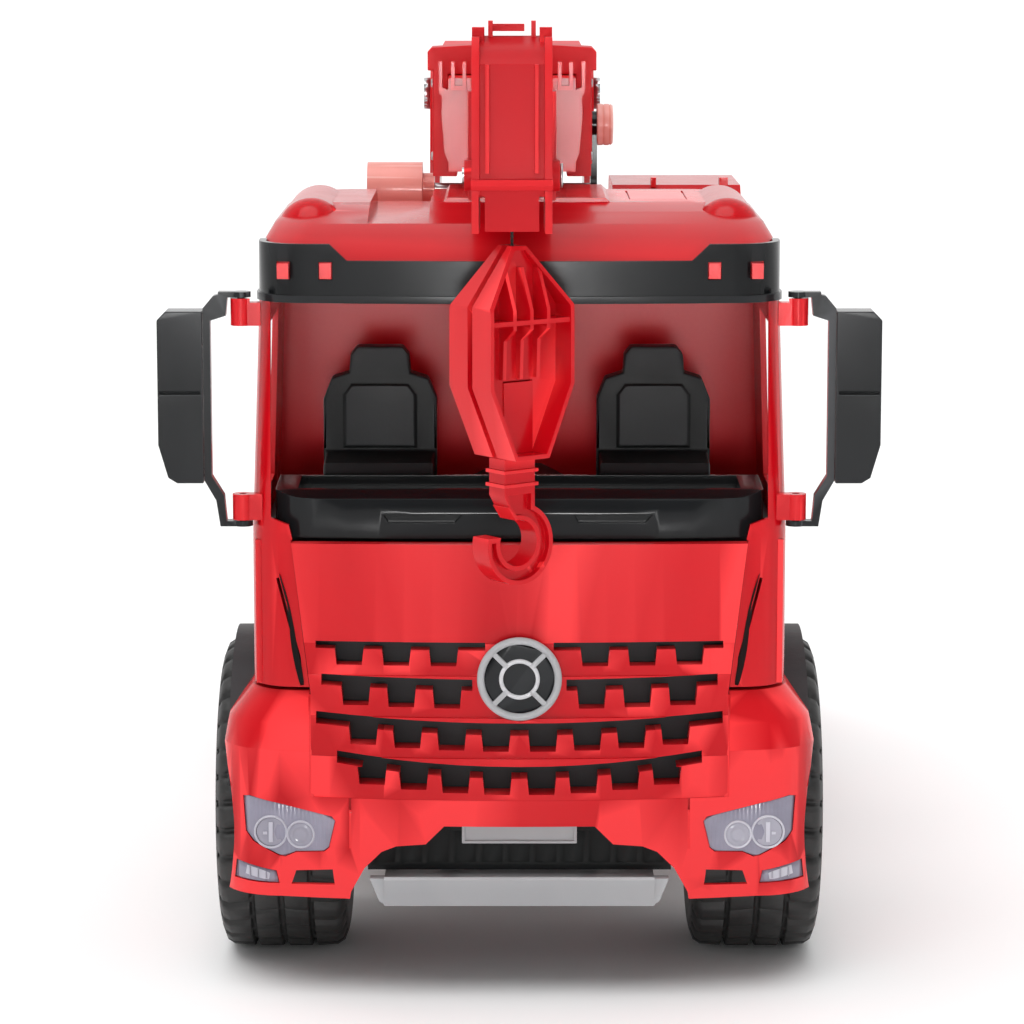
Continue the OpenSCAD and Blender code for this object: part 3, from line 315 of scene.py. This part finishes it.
def finish_cad(node, obj):
    """Welds, bevels and smooths a CAD node's look, and gives it its material."""
    material = BY_NODE.get(node, BY_SLOT[slot_of[node]])
    obj.data.materials.clear()
    obj.data.materials.append(material)
    for name in ("custom_normal", "sharp_face", "sharp_edge"):
        attribute = obj.data.attributes.get(name)
        if attribute:
            obj.data.attributes.remove(attribute)
    for polygon in obj.data.polygons:
        polygon.use_smooth = True
    weld = obj.modifiers.new("weld", "WELD")
    weld.merge_threshold = 0.00001
    if node in BEVELS:
        bevel = obj.modifiers.new("bevel", "BEVEL")
        bevel.width = BEVELS[node] * MM
        bevel.segments = 2
        bevel.limit_method = "ANGLE"
        bevel.angle_limit = SMOOTH_ANGLE
        bevel.harden_normals = False
        bevel.use_clamp_overlap = True
        bevel.miter_outer = "MITER_SHARP"
    normals = obj.modifiers.new("normals", "WEIGHTED_NORMAL")
    normals.keep_sharp = False
    normals.weight = 90


for node_name, node_object in nodes.items():
    finish_cad(node_name, node_object)


# ---------------------------------------------------------------- mesh tools

def skin(bm, rings, loop=False):
    """Joins closed rings of points into a closed skin.

    loop joins the last ring to the first; without it both get a cap."""
    rows = [[bm.verts.new(p) for p in ring] for ring in rings]
    pairs = list(zip(rows, rows[1:]))
    if loop:
        pairs.append((rows[-1], rows[0]))
    for a, b in pairs:
        for i in range(len(a)):
            j = (i + 1) % len(a)
            bm.faces.new((a[i], a[j], b[j], b[i]))
    if not loop:
        bm.faces.new(rows[0])
        bm.faces.new(rows[-1])


def turn_to(axis):
    """The rotation that turns the z axis to another one."""
    return Vector(axis).to_track_quat("Z", "Y").to_matrix()


def lathe(bm, profile, place, axis, steps=32, loop=False):
    """Turns (radius, height) points, in millimetres, about an axis through a place."""
    turn = turn_to(axis)
    rings = []
    for radius, height in profile:
        rings.append([])
        for i in range(steps):
            a = 2 * math.pi * i / steps
            point = Vector((radius * math.cos(a), radius * math.sin(a), height))
            rings[-1].append(place + turn @ point * MM)
    skin(bm, rings, loop=loop)


def slab(bm, lo, hi):
    """A block between two corners; the piece's bevel rounds its edges."""
    flat = [(lo.x, lo.y), (hi.x, lo.y), (hi.x, hi.y), (lo.x, hi.y)]
    skin(bm, [[Vector((x, y, z)) for x, y in flat] for z in (lo.z, hi.z)])


def tube(bm, path, radius, sides=8, loop=False):
    """A round tube along points, with its ends closed."""
    rings = []
    up = Vector((0.31, 0.17, 0.93))  # never along a path used here
    for i, p in enumerate(path):
        ahead = (path[min(i + 1, len(path) - 1)] - path[max(i - 1, 0)]).normalized()
        side = ahead.cross(up).normalized()
        top = side.cross(ahead)
        angles = [2 * math.pi * k / sides for k in range(sides)]
        rings.append([p + (side * math.cos(a) + top * math.sin(a)) * radius for a in angles])
    skin(bm, rings, loop=loop)


def piece(name, bm, material, body, bevel=0.0):
    """Turns a bmesh into a finished piece, bevelled in millimetres, that rides on a body."""
    bmesh.ops.recalc_face_normals(bm, faces=bm.faces)
    mesh = bpy.data.meshes.new(name)
    bm.to_mesh(mesh)
    bm.free()
    mesh.materials.append(material)
    for polygon in mesh.polygons:
        polygon.use_smooth = True
    obj = bpy.data.objects.new(name, mesh)
    bpy.context.scene.collection.objects.link(obj)
    if bevel:
        modifier = obj.modifiers.new("bevel", "BEVEL")
        modifier.width = bevel * MM
        modifier.segments = 2
        modifier.limit_method = "ANGLE"
        modifier.angle_limit = SMOOTH_ANGLE
    obj.modifiers.new("normals", "WEIGHTED_NORMAL").weight = 90
    if body:
        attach(obj, body)
    return obj


trees = {}


def surface(node, start, direction):
    """Where a ray meets a CAD node, and which way the node's surface faces there."""
    if node not in trees:
        graph = bpy.context.evaluated_depsgraph_get()
        trees[node] = BVHTree.FromObject(nodes[node], graph)
    place, normal, _, _ = trees[node].ray_cast(start, Vector(direction))
    if place is None:
        return None, None
    if normal.dot(Vector(direction)) > 0:
        normal = -normal
    return place, normal


# ---------------------------------------------------------------- tyres

LUGS = 34
# Share of a lug's pitch, then whether the shoulder and the centre are cut there
LUG_STEPS = [(0.00, 1, 0), (0.20, 1, 0), (0.25, 0, 0), (0.46, 0, 0), (0.50, 0, 1), (0.62, 0, 1),
             (0.66, 0, 0), (0.95, 0, 0)]
SHOULDER_CUT = 2.6
CENTRE_CUT = 1.5
LUG_LEAN = 0.35  # how far a lug leans over the tread, in pitches
TYRE_INNER_X = 72.0
TYRE_BORE = 38.2


def tyre_profile(half, radius, bore):
    """Half a tyre's section from its bead to its middle: (x, radius, kind of surface)."""
    return [(half - 4.0, bore, "side"), (half - 1.6, bore + 1.6, "side"), (half - 1.2, bore + 6, "side"),
            (half - 0.2, bore + 10, "side"), (half - 0.9, bore + 11, "side"), (half, bore + 16, "side"),
            (half - 0.3, radius - 9, "side"), (half - 1.0, radius - 7.8, "side"),
            (half - 0.8, radius - 6.6, "shoulder"), (half - 2.4, radius - 2.4, "shoulder"),
            (half - 5.0, radius - 0.7, "shoulder"), (half - 13.4, radius - 0.1, "shoulder"),
            (half - 13.8, radius - 3.0, "groove"), (half - 15.8, radius - 3.0, "groove"),
            (half - 16.2, radius, "centre"), (half - 25.4, radius, "centre"),
            (half - 25.8, radius - 2.2, "groove"), (0.0, radius - 2.2, "groove")]


def make_tyres(name, node, body):
    """The two treaded tyres of an axle, in place of a CAD node's plain ones."""
    lo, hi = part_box(node)
    axle = (lo + hi) / 2
    radius = (hi.z - lo.z) / 2 / MM
    half = (hi.x / MM - TYRE_INNER_X) / 2
    profile = tyre_profile(half, radius, TYRE_BORE)
    section = profile + [(-x, r, kind) for x, r, kind in reversed(profile[:-1])]
    bm = bmesh.new()
    for side in (-1, 1):
        rings = []
        for lug in range(LUGS):
            for share, cut_side, cut_centre in LUG_STEPS:
                ring = []
                for x, r, kind in section:
                    a = 2 * math.pi * (lug + share) / LUGS
                    if kind == "shoulder" and cut_side:
                        r -= SHOULDER_CUT
                    if kind == "centre" and cut_centre:
                        r -= CENTRE_CUT
                    if kind in ("shoulder", "centre"):
                        a += LUG_LEAN * (abs(x) - half / 2) / half * 2 * math.pi / LUGS
                    ring.append(Vector((side * (TYRE_INNER_X + half + x) * MM,
                                        axle.y + r * MM * math.cos(a), axle.z + r * MM * math.sin(a))))
                rings.append(ring)
        skin(bm, rings, loop=True)
    tyres = piece(name, bm, tyre, body)
    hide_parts(node)


for axle_name in ("front", "middle", "rear"):
    make_tyres(axle_name + "_treaded_tyres", axle_name + "_tyres", axle_name + "_wheels")


NUTS = 8
NUT_CIRCLE = 13.0
NUT_PROFILE = [(2.3, -0.4), (2.3, 1.6), (1.5, 2.0), (1.1, 2.0), (1.0, 2.8), (0.4, 3.0)]


def make_wheel_nuts(name, node, body):
    """A circle of hexagonal nuts on both rims of an axle."""
    lo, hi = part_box(node)
    axle = (lo + hi) / 2
    bm = bmesh.new()
    for side in (-1, 1):
        for i in range(NUTS):
            a = 2 * math.pi * (i + 0.5) / NUTS
            start = Vector((side * (hi.x + 0.05), axle.y + NUT_CIRCLE * MM * math.cos(a),
                            axle.z + NUT_CIRCLE * MM * math.sin(a)))
            spot, _ = surface(node, start, (-side, 0, 0))
            if spot is not None:
                lathe(bm, NUT_PROFILE, spot, (side, 0, 0), steps=6)
    piece(name, bm, silver_plastic, body, bevel=0.15)


for axle_name in ("front", "middle", "rear"):
    make_wheel_nuts(axle_name + "_wheel_nuts", axle_name + "_rims", axle_name + "_wheels")


# ---------------------------------------------------------------- hoist string

STRING_TOP = 0.338
STRING_FOOT = 0.3025
KNOT_HEIGHT = 0.2996
STRAND = 0.36
TWISTS = 11
TWIST_STEPS = 96
KNOT_RADIUS = 1.5
KNOT_STEPS = 24
CORD_RADIUS = 0.62
string_place = middle("hoist_string")


def make_hoist_string():
    """Two twisted strands from the sheave to the hook line, and the knot at their foot."""
    bm = bmesh.new()
    for strand in (0, 1):
        path = []
        for i in range(TWIST_STEPS + 1):
            t = i / TWIST_STEPS
            a = 2 * math.pi * TWISTS * t + math.pi * strand
            path.append(Vector((string_place.x + STRAND * MM * math.cos(a),
                                string_place.y + STRAND * MM * math.sin(a),
                                STRING_TOP + (STRING_FOOT - STRING_TOP) * t)))
        tube(bm, path, STRAND * 0.95 * MM, sides=8)
    knot = Vector((string_place.x, string_place.y, KNOT_HEIGHT))
    for tilt in (0, 1, 2):
        loop = []
        for i in range(KNOT_STEPS):
            a = 2 * math.pi * i / KNOT_STEPS
            ring = Vector((math.cos(a), math.sin(a), 0.35 * math.sin(2 * a + tilt))) * KNOT_RADIUS * MM
            loop.append(knot + Matrix.Rotation(tilt * 1.05, 3, "X") @ ring)
        tube(bm, loop, CORD_RADIUS * MM, sides=8, loop=True)
    string = piece("hoist_cord", bm, cord, None)
    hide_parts("hoist_string")
    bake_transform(string)


make_hoist_string()


COIL_LAYERS = ((0.86, 19), (0.72, 19))  # share of the wound string's radius, and turns
COIL_STEPS = 20
COIL_MARGIN = 0.0008


def make_winch_coil():
    """The string wound on the drum, in two layers."""
    lo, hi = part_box("winch_string")
    centre = (lo + hi) / 2
    radius = (hi.z - lo.z) / 2
    bm = bmesh.new()
    for layer, turns in COIL_LAYERS:
        path = []
        for i in range(turns * COIL_STEPS + 1):
            t = i / (turns * COIL_STEPS)
            a = 2 * math.pi * turns * t
            path.append(Vector((lo.x + COIL_MARGIN + (hi.x - lo.x - 2 * COIL_MARGIN) * t,
                                centre.y + radius * layer * math.cos(a),
                                centre.z + radius * layer * math.sin(a))))
        tube(bm, path, CORD_RADIUS * MM, sides=6)
    coil = piece("winch_string_coil", bm, cord, "winch")
    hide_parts("winch_string")


make_winch_coil()


# ---------------------------------------------------------------- gaps and seams

RAY_START = -60  # in front of everything that a ray from the front should meet
STRIP_PITCH = 1.5


def foremost(names, x, z):
    """The foremost surface of some CAD nodes seen from the front at (x, z), in millimetres."""
    best = None
    for name in names:
        spot, _ = surface(name, at(x, RAY_START, z), (0, 1, 0))
        if spot is not None and (best is None or spot.y < best.y):
            best = spot
    return best


def strip(bm, names, side, line, lift, depth, reach=0.0):
    """A thin strip laid along the front of some nodes: line holds (x, z, half width), all in millimetres.

    lift is how far it stands off the surface and depth how far it goes in. reach takes the
    surface's depth that much further out, past a groove that the strip bridges."""
    rings = []
    fine = []
    for a, b in zip(line, line[1:]):
        steps = max(1, round(math.dist(a[:2], b[:2]) / STRIP_PITCH))
        fine += [tuple(u + (v - u) * k / steps for u, v in zip(a, b)) for k in range(steps)]
    line = fine + [line[-1]]
    for i, (x, z, half) in enumerate(line):
        a, b = line[max(i - 1, 0)], line[min(i + 1, len(line) - 1)]
        run = Vector((b[0] - a[0], b[1] - a[1])).normalized()
        edges = [foremost(names, side * (x + k * (half + reach) * run.y), z - k * (half + reach) * run.x)
                 for k in (-1, 1)]
        if None in edges:
            continue
        for k, edge in zip((-1, 1), edges):
            edge.x = side * (x + k * half * run.y) * MM
            edge.z = (z - k * half * run.x) * MM
        out, back = Vector((0, -lift * MM, 0)), Vector((0, depth * MM, 0))
        rings.append([edges[0] + out, edges[1] + out, edges[1] + back, edges[0] + back])
    if len(rings) > 1:
        skin(bm, rings)


# The painted shadow in the gap on each side of the bonnet, from its top down: x, z and half width
GAP = [(97.3, 174.0, 0.15), (97.0, 173.2, 0.4), (95.0, 166.0, 0.75), (93.4, 159.1, 0.85), (92.2, 151.8, 1.0),
       (91.1, 143.6, 1.2), (90.2, 139.0, 1.3), (89.5, 135.5, 1.3), (88.4, 130.0, 1.0), (87.7, 126.8, 0.4)]
FILLER_DEPTH = 1.4


def make_gaps_and_seams():
    """Strips of painted shadow in the gaps beside the bonnet, and red fillers in the seams round the bumper.
    """
    gaps, fillers = bmesh.new(), bmesh.new()
    front = ("cab_shell", "front_bumper", "front_grille")
    top = high("front_bumper").z / MM
    for side in (-1, 1):
        strip(gaps, front, side, GAP, 0.25, 0.3, reach=1.6)
        strip(fillers, front, side, [(84.6, z, 1.3) for z in (126, 118, 110, 102, 94, 86, 78)],
              -0.3, FILLER_DEPTH)
        strip(fillers, front, side, [(69.0, z, 1.3) for z in (78, 72, 66, 60, 56)], -0.3, FILLER_DEPTH)
        strip(fillers, front, side, [(x, top, 1.5) for x in (113, 108, 103, 98, 93, 88, 85)],
              -0.1, FILLER_DEPTH)
    piece("panel_gap_shadows", gaps, gap_painted_shadow, "truck")
    piece("seam_fillers", fillers, red_plastic, "truck")


make_gaps_and_seams()


# ---------------------------------------------------------------- lamps

LAMPS = ((101.3, 67.6, 7.0, True), (89.0, 67.0, 5.9, False))  # x, z, radius, whether it has the two bars
LAMP_BARS = ((-0.9, 0.9, -4.2, 4.2), (1.5, 3.2, -1.0, 0.2))  # from x, to x, from z, to z
FOG_LAMP = [(111.8, 50.9, 1.9), (108.0, 50.2, 1.9), (104.0, 49.4, 1.7), (102.0, 49.0, 1.3)]
FOG_LAMP_RIBS = (110.2, 106.8, 103.4)


def ring_profile(radius, width, height):
    """The section of a raised ring for lathe, sunk a little into what it stands on."""
    return [(radius - width, -0.6), (radius - width, height * 0.6), (radius - width * 0.6, height),
            (radius - width * 0.3, height), (radius, height * 0.5), (radius, -0.6)]


def make_lamps():
    """Rings, bowls and bars of the head lamps, and the ribbed strip of each fog lamp."""
    rings = bmesh.new()
    bowls = bmesh.new()
    for side in (-1, 1):
        for x, z, radius, barred in LAMPS:
            spot, normal = surface("front_lamps", at(side * x, RAY_START, z), (0, 1, 0))
            if spot is None:
                continue
            axis = (normal + Vector((0, -1, 0))).normalized()
            lathe(rings, ring_profile(radius, 1.0, 0.9), spot, axis, steps=40, loop=True)
            if barred:
                lathe(bowls, [(radius - 0.9, 0.0), (radius - 1.4, 0.25), (radius - 3.0, 0.12), (0.3, 0.05)],
                      spot, axis, steps=40)
                turn = turn_to(axis)
                for low_x, high_x, low_z, high_z in LAMP_BARS:
                    corners = [(low_x, low_z), (high_x, low_z), (high_x, high_z), (low_x, high_z)]
                    skin(rings, [[spot + turn @ Vector((side * u, v, h)) * MM for u, v in corners]
                                 for h in (-0.2, 0.9)])
            else:
                lathe(bowls, [(radius - 0.9, 0.0), (radius - 1.0, 0.55), (radius - 2.6, 0.8),
                              (radius - 2.9, 0.35), (1.6, 0.55), (0.3, 0.6)], spot, axis, steps=40)
        strip(rings, ("front_lamps",), side, FOG_LAMP, 0.35, 0.3)
        for x in FOG_LAMP_RIBS:
            strip(bowls, ("front_lamps",), side, [(x, 52.2, 0.3), (x, 48.2, 0.3)], 0.6, 0.3)
    piece("lamp_rings", rings, lamp_ring, "truck", bevel=0.12)
    piece("lamp_bowls", bowls, reflector, "truck")


make_lamps()


# ---------------------------------------------------------------- small parts

SCREW_RADIUS = 2.6
SMALL_SCREW_RADIUS = 2.0
BOOM_SCREW_RADIUS = 1.9


def screw(bm, spot, axis, radius):
    """A pan-head screw with a cross recess."""
    turn = turn_to(axis)
    arm, width, deep = radius * 0.62, radius * 0.16, 0.7
    lathe(bm, [(radius, -0.3), (radius, 0.5), (radius * 0.86, 0.95)], spot, axis, steps=24)
    cross = [(arm, width), (width, width), (width, arm), (-width, arm), (-width, width), (-arm, width),
             (-arm, -width), (-width, -width), (-width, -arm), (width, -arm), (width, -width), (arm, -width)]
    skin(bm, [[spot + turn @ Vector((u * k, v * k, h)) * MM for u, v in cross]
              for k, h in ((1.0, 1.06), (0.8, 0.95 - deep))])


def make_screws():
    """Screws on the cab's back, the deck, the crane, the boom and the battery box, one piece a body."""
    by_body = {}

    def put(body, node, start, direction, radius=SCREW_RADIUS):
        spot, normal = surface(node, start, direction)
        if spot is not None:
            if body not in by_body:
                by_body[body] = bmesh.new()
            screw(by_body[body], spot, normal, radius)

    for side in (-1, 1):
        for z in (140, 284):
            put("truck", "cab_shell", at(side * 92, 300, z), (0, -1, 0))
        put("truck", "crane_deck", at(side * 84, 700, 138), (0, -1, 0))
        for z in (184, 224):
            put("crane_base", "counterweight", at(side * 50, 700, z), (0, -1, 0))
        put("crane_base", "superstructure", at(side * 200, 420, 200), (-side, 0, 0))
        for d in (180, 284, 374):
            for z in (332, 364):
                put("outer_boom", "boom_outer", at(side * 100, d, z), (-side, 0, 0), BOOM_SCREW_RADIUS)
        put("truck", "battery_box", at(side * 200, 230, 112), (-side, 0, 0), SMALL_SCREW_RADIUS)
    for body, bm in by_body.items():
        piece(body + "_screws", bm, steel, body)


make_screws()


TREAD_PITCH = 12.0
TREAD_CLEAR = 0.092  # no tread under the turntable, this far from its axis, in metres
TREAD_OUTLINE = [(-3.4, 0), (-2.2, -0.8), (2.2, -0.8), (3.4, 0), (2.2, 0.8), (-2.2, 0.8)]


def make_deck_tread():
    """Raised lozenges in alternating directions on the open parts of the deck."""
    top = high("crane_deck").z
    lo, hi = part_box("crane_deck")
    slew = middle("turntable_ring")
    bm = bmesh.new()
    rows = int((hi.y - lo.y) / MM / TREAD_PITCH) - 1
    columns = int((hi.x - lo.x) / MM / TREAD_PITCH) - 1
    for i in range(columns):
        for j in range(rows):
            place = Vector((lo.x + (i + 1) * TREAD_PITCH * MM, lo.y + (j + 1) * TREAD_PITCH * MM, top))
            if (place - slew).to_2d().length < TREAD_CLEAR:
                continue
            spot, _ = surface("crane_deck", place + Vector((0, 0, 0.02)), (0, 0, -1))
            if spot is None or abs(spot.z - top) > 0.0003:
                continue
            lean = math.radians(45 if (i + j) % 2 else -45)
            turn = Matrix.Rotation(lean, 3, "Z")
            skin(bm, [[spot + turn @ Vector((u * k, v * k, h)) * MM for u, v in TREAD_OUTLINE]
                      for k, h in ((1.0, -0.2), (0.95, 0.25), (0.55, 0.6))])
    piece("deck_tread_plate", bm, red_matt, "truck")


make_deck_tread()


def make_door_parts():
    """The pull bar of each door handle."""
    bm = bmesh.new()
    for side in (-1, 1):
        lo, hi = at(106.6, 109.0, 177.6), at(109.4, 123.0, 180.6)
        if side < 0:
            lo.x, hi.x = -hi.x, -lo.x
        slab(bm, lo, hi)
    piece("door_handles", bm, black_plastic, "truck", bevel=0.8)


make_door_parts()


GLASS_INSET = 3.2
GLASS_CORNER = 3.0


def make_mirror_glass(side_name):
    """A plate of foil with round corners on the back of a mirror housing."""
    lo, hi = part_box("mirror_housing_" + side_name)
    middle_x, middle_z = (lo.x + hi.x) / 2, (lo.z + hi.z) / 2
    inset = GLASS_INSET * MM
    corner = GLASS_CORNER * MM
    left, right = lo.x + inset + corner, hi.x - inset - corner
    foot, head = lo.z + inset + corner, hi.z - inset - corner
    outline = []
    for x, z, start in ((right, head, 0), (left, head, 90), (left, foot, 180), (right, foot, 270)):
        for k in range(5):
            a = math.radians(start + 22.5 * k)
            outline.append((x + corner * math.cos(a), z + corner * math.sin(a)))
    spot, _ = surface("mirror_housing_" + side_name, Vector((middle_x, hi.y + 0.05, middle_z)), (0, -1, 0))
    rings = []
    for k, h in ((1.0, -0.3), (1.0, 0.2), (0.94, 0.45)):
        rings.append([Vector((middle_x + (x - middle_x) * k, spot.y + h * MM, middle_z + (z - middle_z) * k))
                      for x, z in outline])
    bm = bmesh.new()
    skin(bm, rings)
    piece("mirror_glass_" + side_name, bm, mirror_foil, "mirror_" + side_name)


make_mirror_glass("left")
make_mirror_glass("right")


GRIP_DROP = 8.6  # from the top of the crank arm to the grip's axis
GRIP_PROFILE = [(2.0, -7.0), (8.9, -7.0), (9.4, -6.4), (9.4, -4.4), (8.9, -4.0), (9.4, -3.6), (9.4, -1.6),
                (8.9, -1.2), (9.3, -0.7), (8.6, 0.25), (6.0, 0.5), (0.4, 0.5)]


def make_crank_grip():
    """The grooved grip at the end of the crank arm."""
    lo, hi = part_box("crank_arm")
    start = Vector((hi.x, (lo.y + hi.y) / 2, hi.z - GRIP_DROP * MM))
    bm = bmesh.new()
    lathe(bm, GRIP_PROFILE, start, (1, 0, 0), steps=36)
    piece("crank_grip", bm, painted_highlight_red, "winch")


make_crank_grip()


# ---------------------------------------------------------------- light and floor

FLOOR_HALF = 60
WORLD_Y = (-0.7, 0.5)  # the world's light grows from the front to the back
WORLD_STRENGTH = (0.24, 1.04)
SUN_STRENGTH = 1.75
SUN_SPREAD = 50
SUN_TILT = (14, -8)
# Place, target, size, power in watts and spread in degrees
AREA_LIGHTS = {"front_softbox": ((-0.3, -2.5, 0.62), (0, 0, 0.2), (1.7, 0.9), 4.5, 180),
               "cab_softbox": ((0, -2.1, 0.3), (0, -0.2, 0.26), (0.9, 0.3), 0.32, 15),
               "key": ((-1.1, -1.9, 1.9), (0, 0, 0.2), (1.0, 0.7), 2, 180)}


def make_floor():
    mesh = bpy.data.meshes.new("floor")
    half = FLOOR_HALF
    mesh.from_pydata([(-half, -half, 0), (half, -half, 0), (half, half, 0), (-half, half, 0)], [],
                     [(0, 1, 2, 3)])
    floor = bpy.data.objects.new("floor", mesh)
    floor.location.z = floor_z
    bpy.context.scene.collection.objects.link(floor)
    s = Shader("pale_floor")
    s.link(s.ramp(s.noise(3, 2), [(0.2, (0.94, 0.94, 0.94)), (0.8, (0.96, 0.96, 0.96))]),
           s.bsdf.inputs["Base Color"])
    s.set(Roughness=0.9, Specular_IOR_Level=0.1)
    mesh.materials.append(s.material)


def make_world():
    world = bpy.data.worlds.new("studio")
    world.use_nodes = True
    tree = world.node_tree
    coords = tree.nodes.new("ShaderNodeTexCoord")
    split = tree.nodes.new("ShaderNodeSeparateXYZ")
    spread = tree.nodes.new("ShaderNodeMapRange")
    spread.inputs["From Min"].default_value = WORLD_Y[0]
    spread.inputs["From Max"].default_value = WORLD_Y[1]
    spread.inputs["To Min"].default_value = WORLD_STRENGTH[0]
    spread.inputs["To Max"].default_value = WORLD_STRENGTH[1]
    tree.links.new(coords.outputs["Generated"], split.inputs["Vector"])
    tree.links.new(split.outputs["Y"], spread.inputs["Value"])
    tree.links.new(spread.outputs["Result"], tree.nodes["Background"].inputs["Strength"])
    tree.nodes["Background"].inputs["Color"].default_value = (1, 1, 1, 1)
    bpy.context.scene.world = world


def make_lights():
    sun = bpy.data.lights.new("overhead", "SUN")
    sun.energy = SUN_STRENGTH
    sun.angle = math.radians(SUN_SPREAD)
    lamp = bpy.data.objects.new("overhead", sun)
    lamp.rotation_euler = (math.radians(SUN_TILT[0]), math.radians(SUN_TILT[1]), 0)
    bpy.context.scene.collection.objects.link(lamp)
    for name, (place, target, size, power, spread) in AREA_LIGHTS.items():
        data = bpy.data.lights.new(name, "AREA")
        data.shape = "RECTANGLE"
        data.size, data.size_y = size
        data.energy = power
        data.spread = math.radians(spread)
        lamp = bpy.data.objects.new(name, data)
        lamp.location = place
        lamp.rotation_euler = (Vector(target) - Vector(place)).to_track_quat("-Z", "Y").to_euler()
        bpy.context.scene.collection.objects.link(lamp)


make_floor()
make_world()
make_lights()
bpy.context.scene.view_settings.view_transform = "Standard"
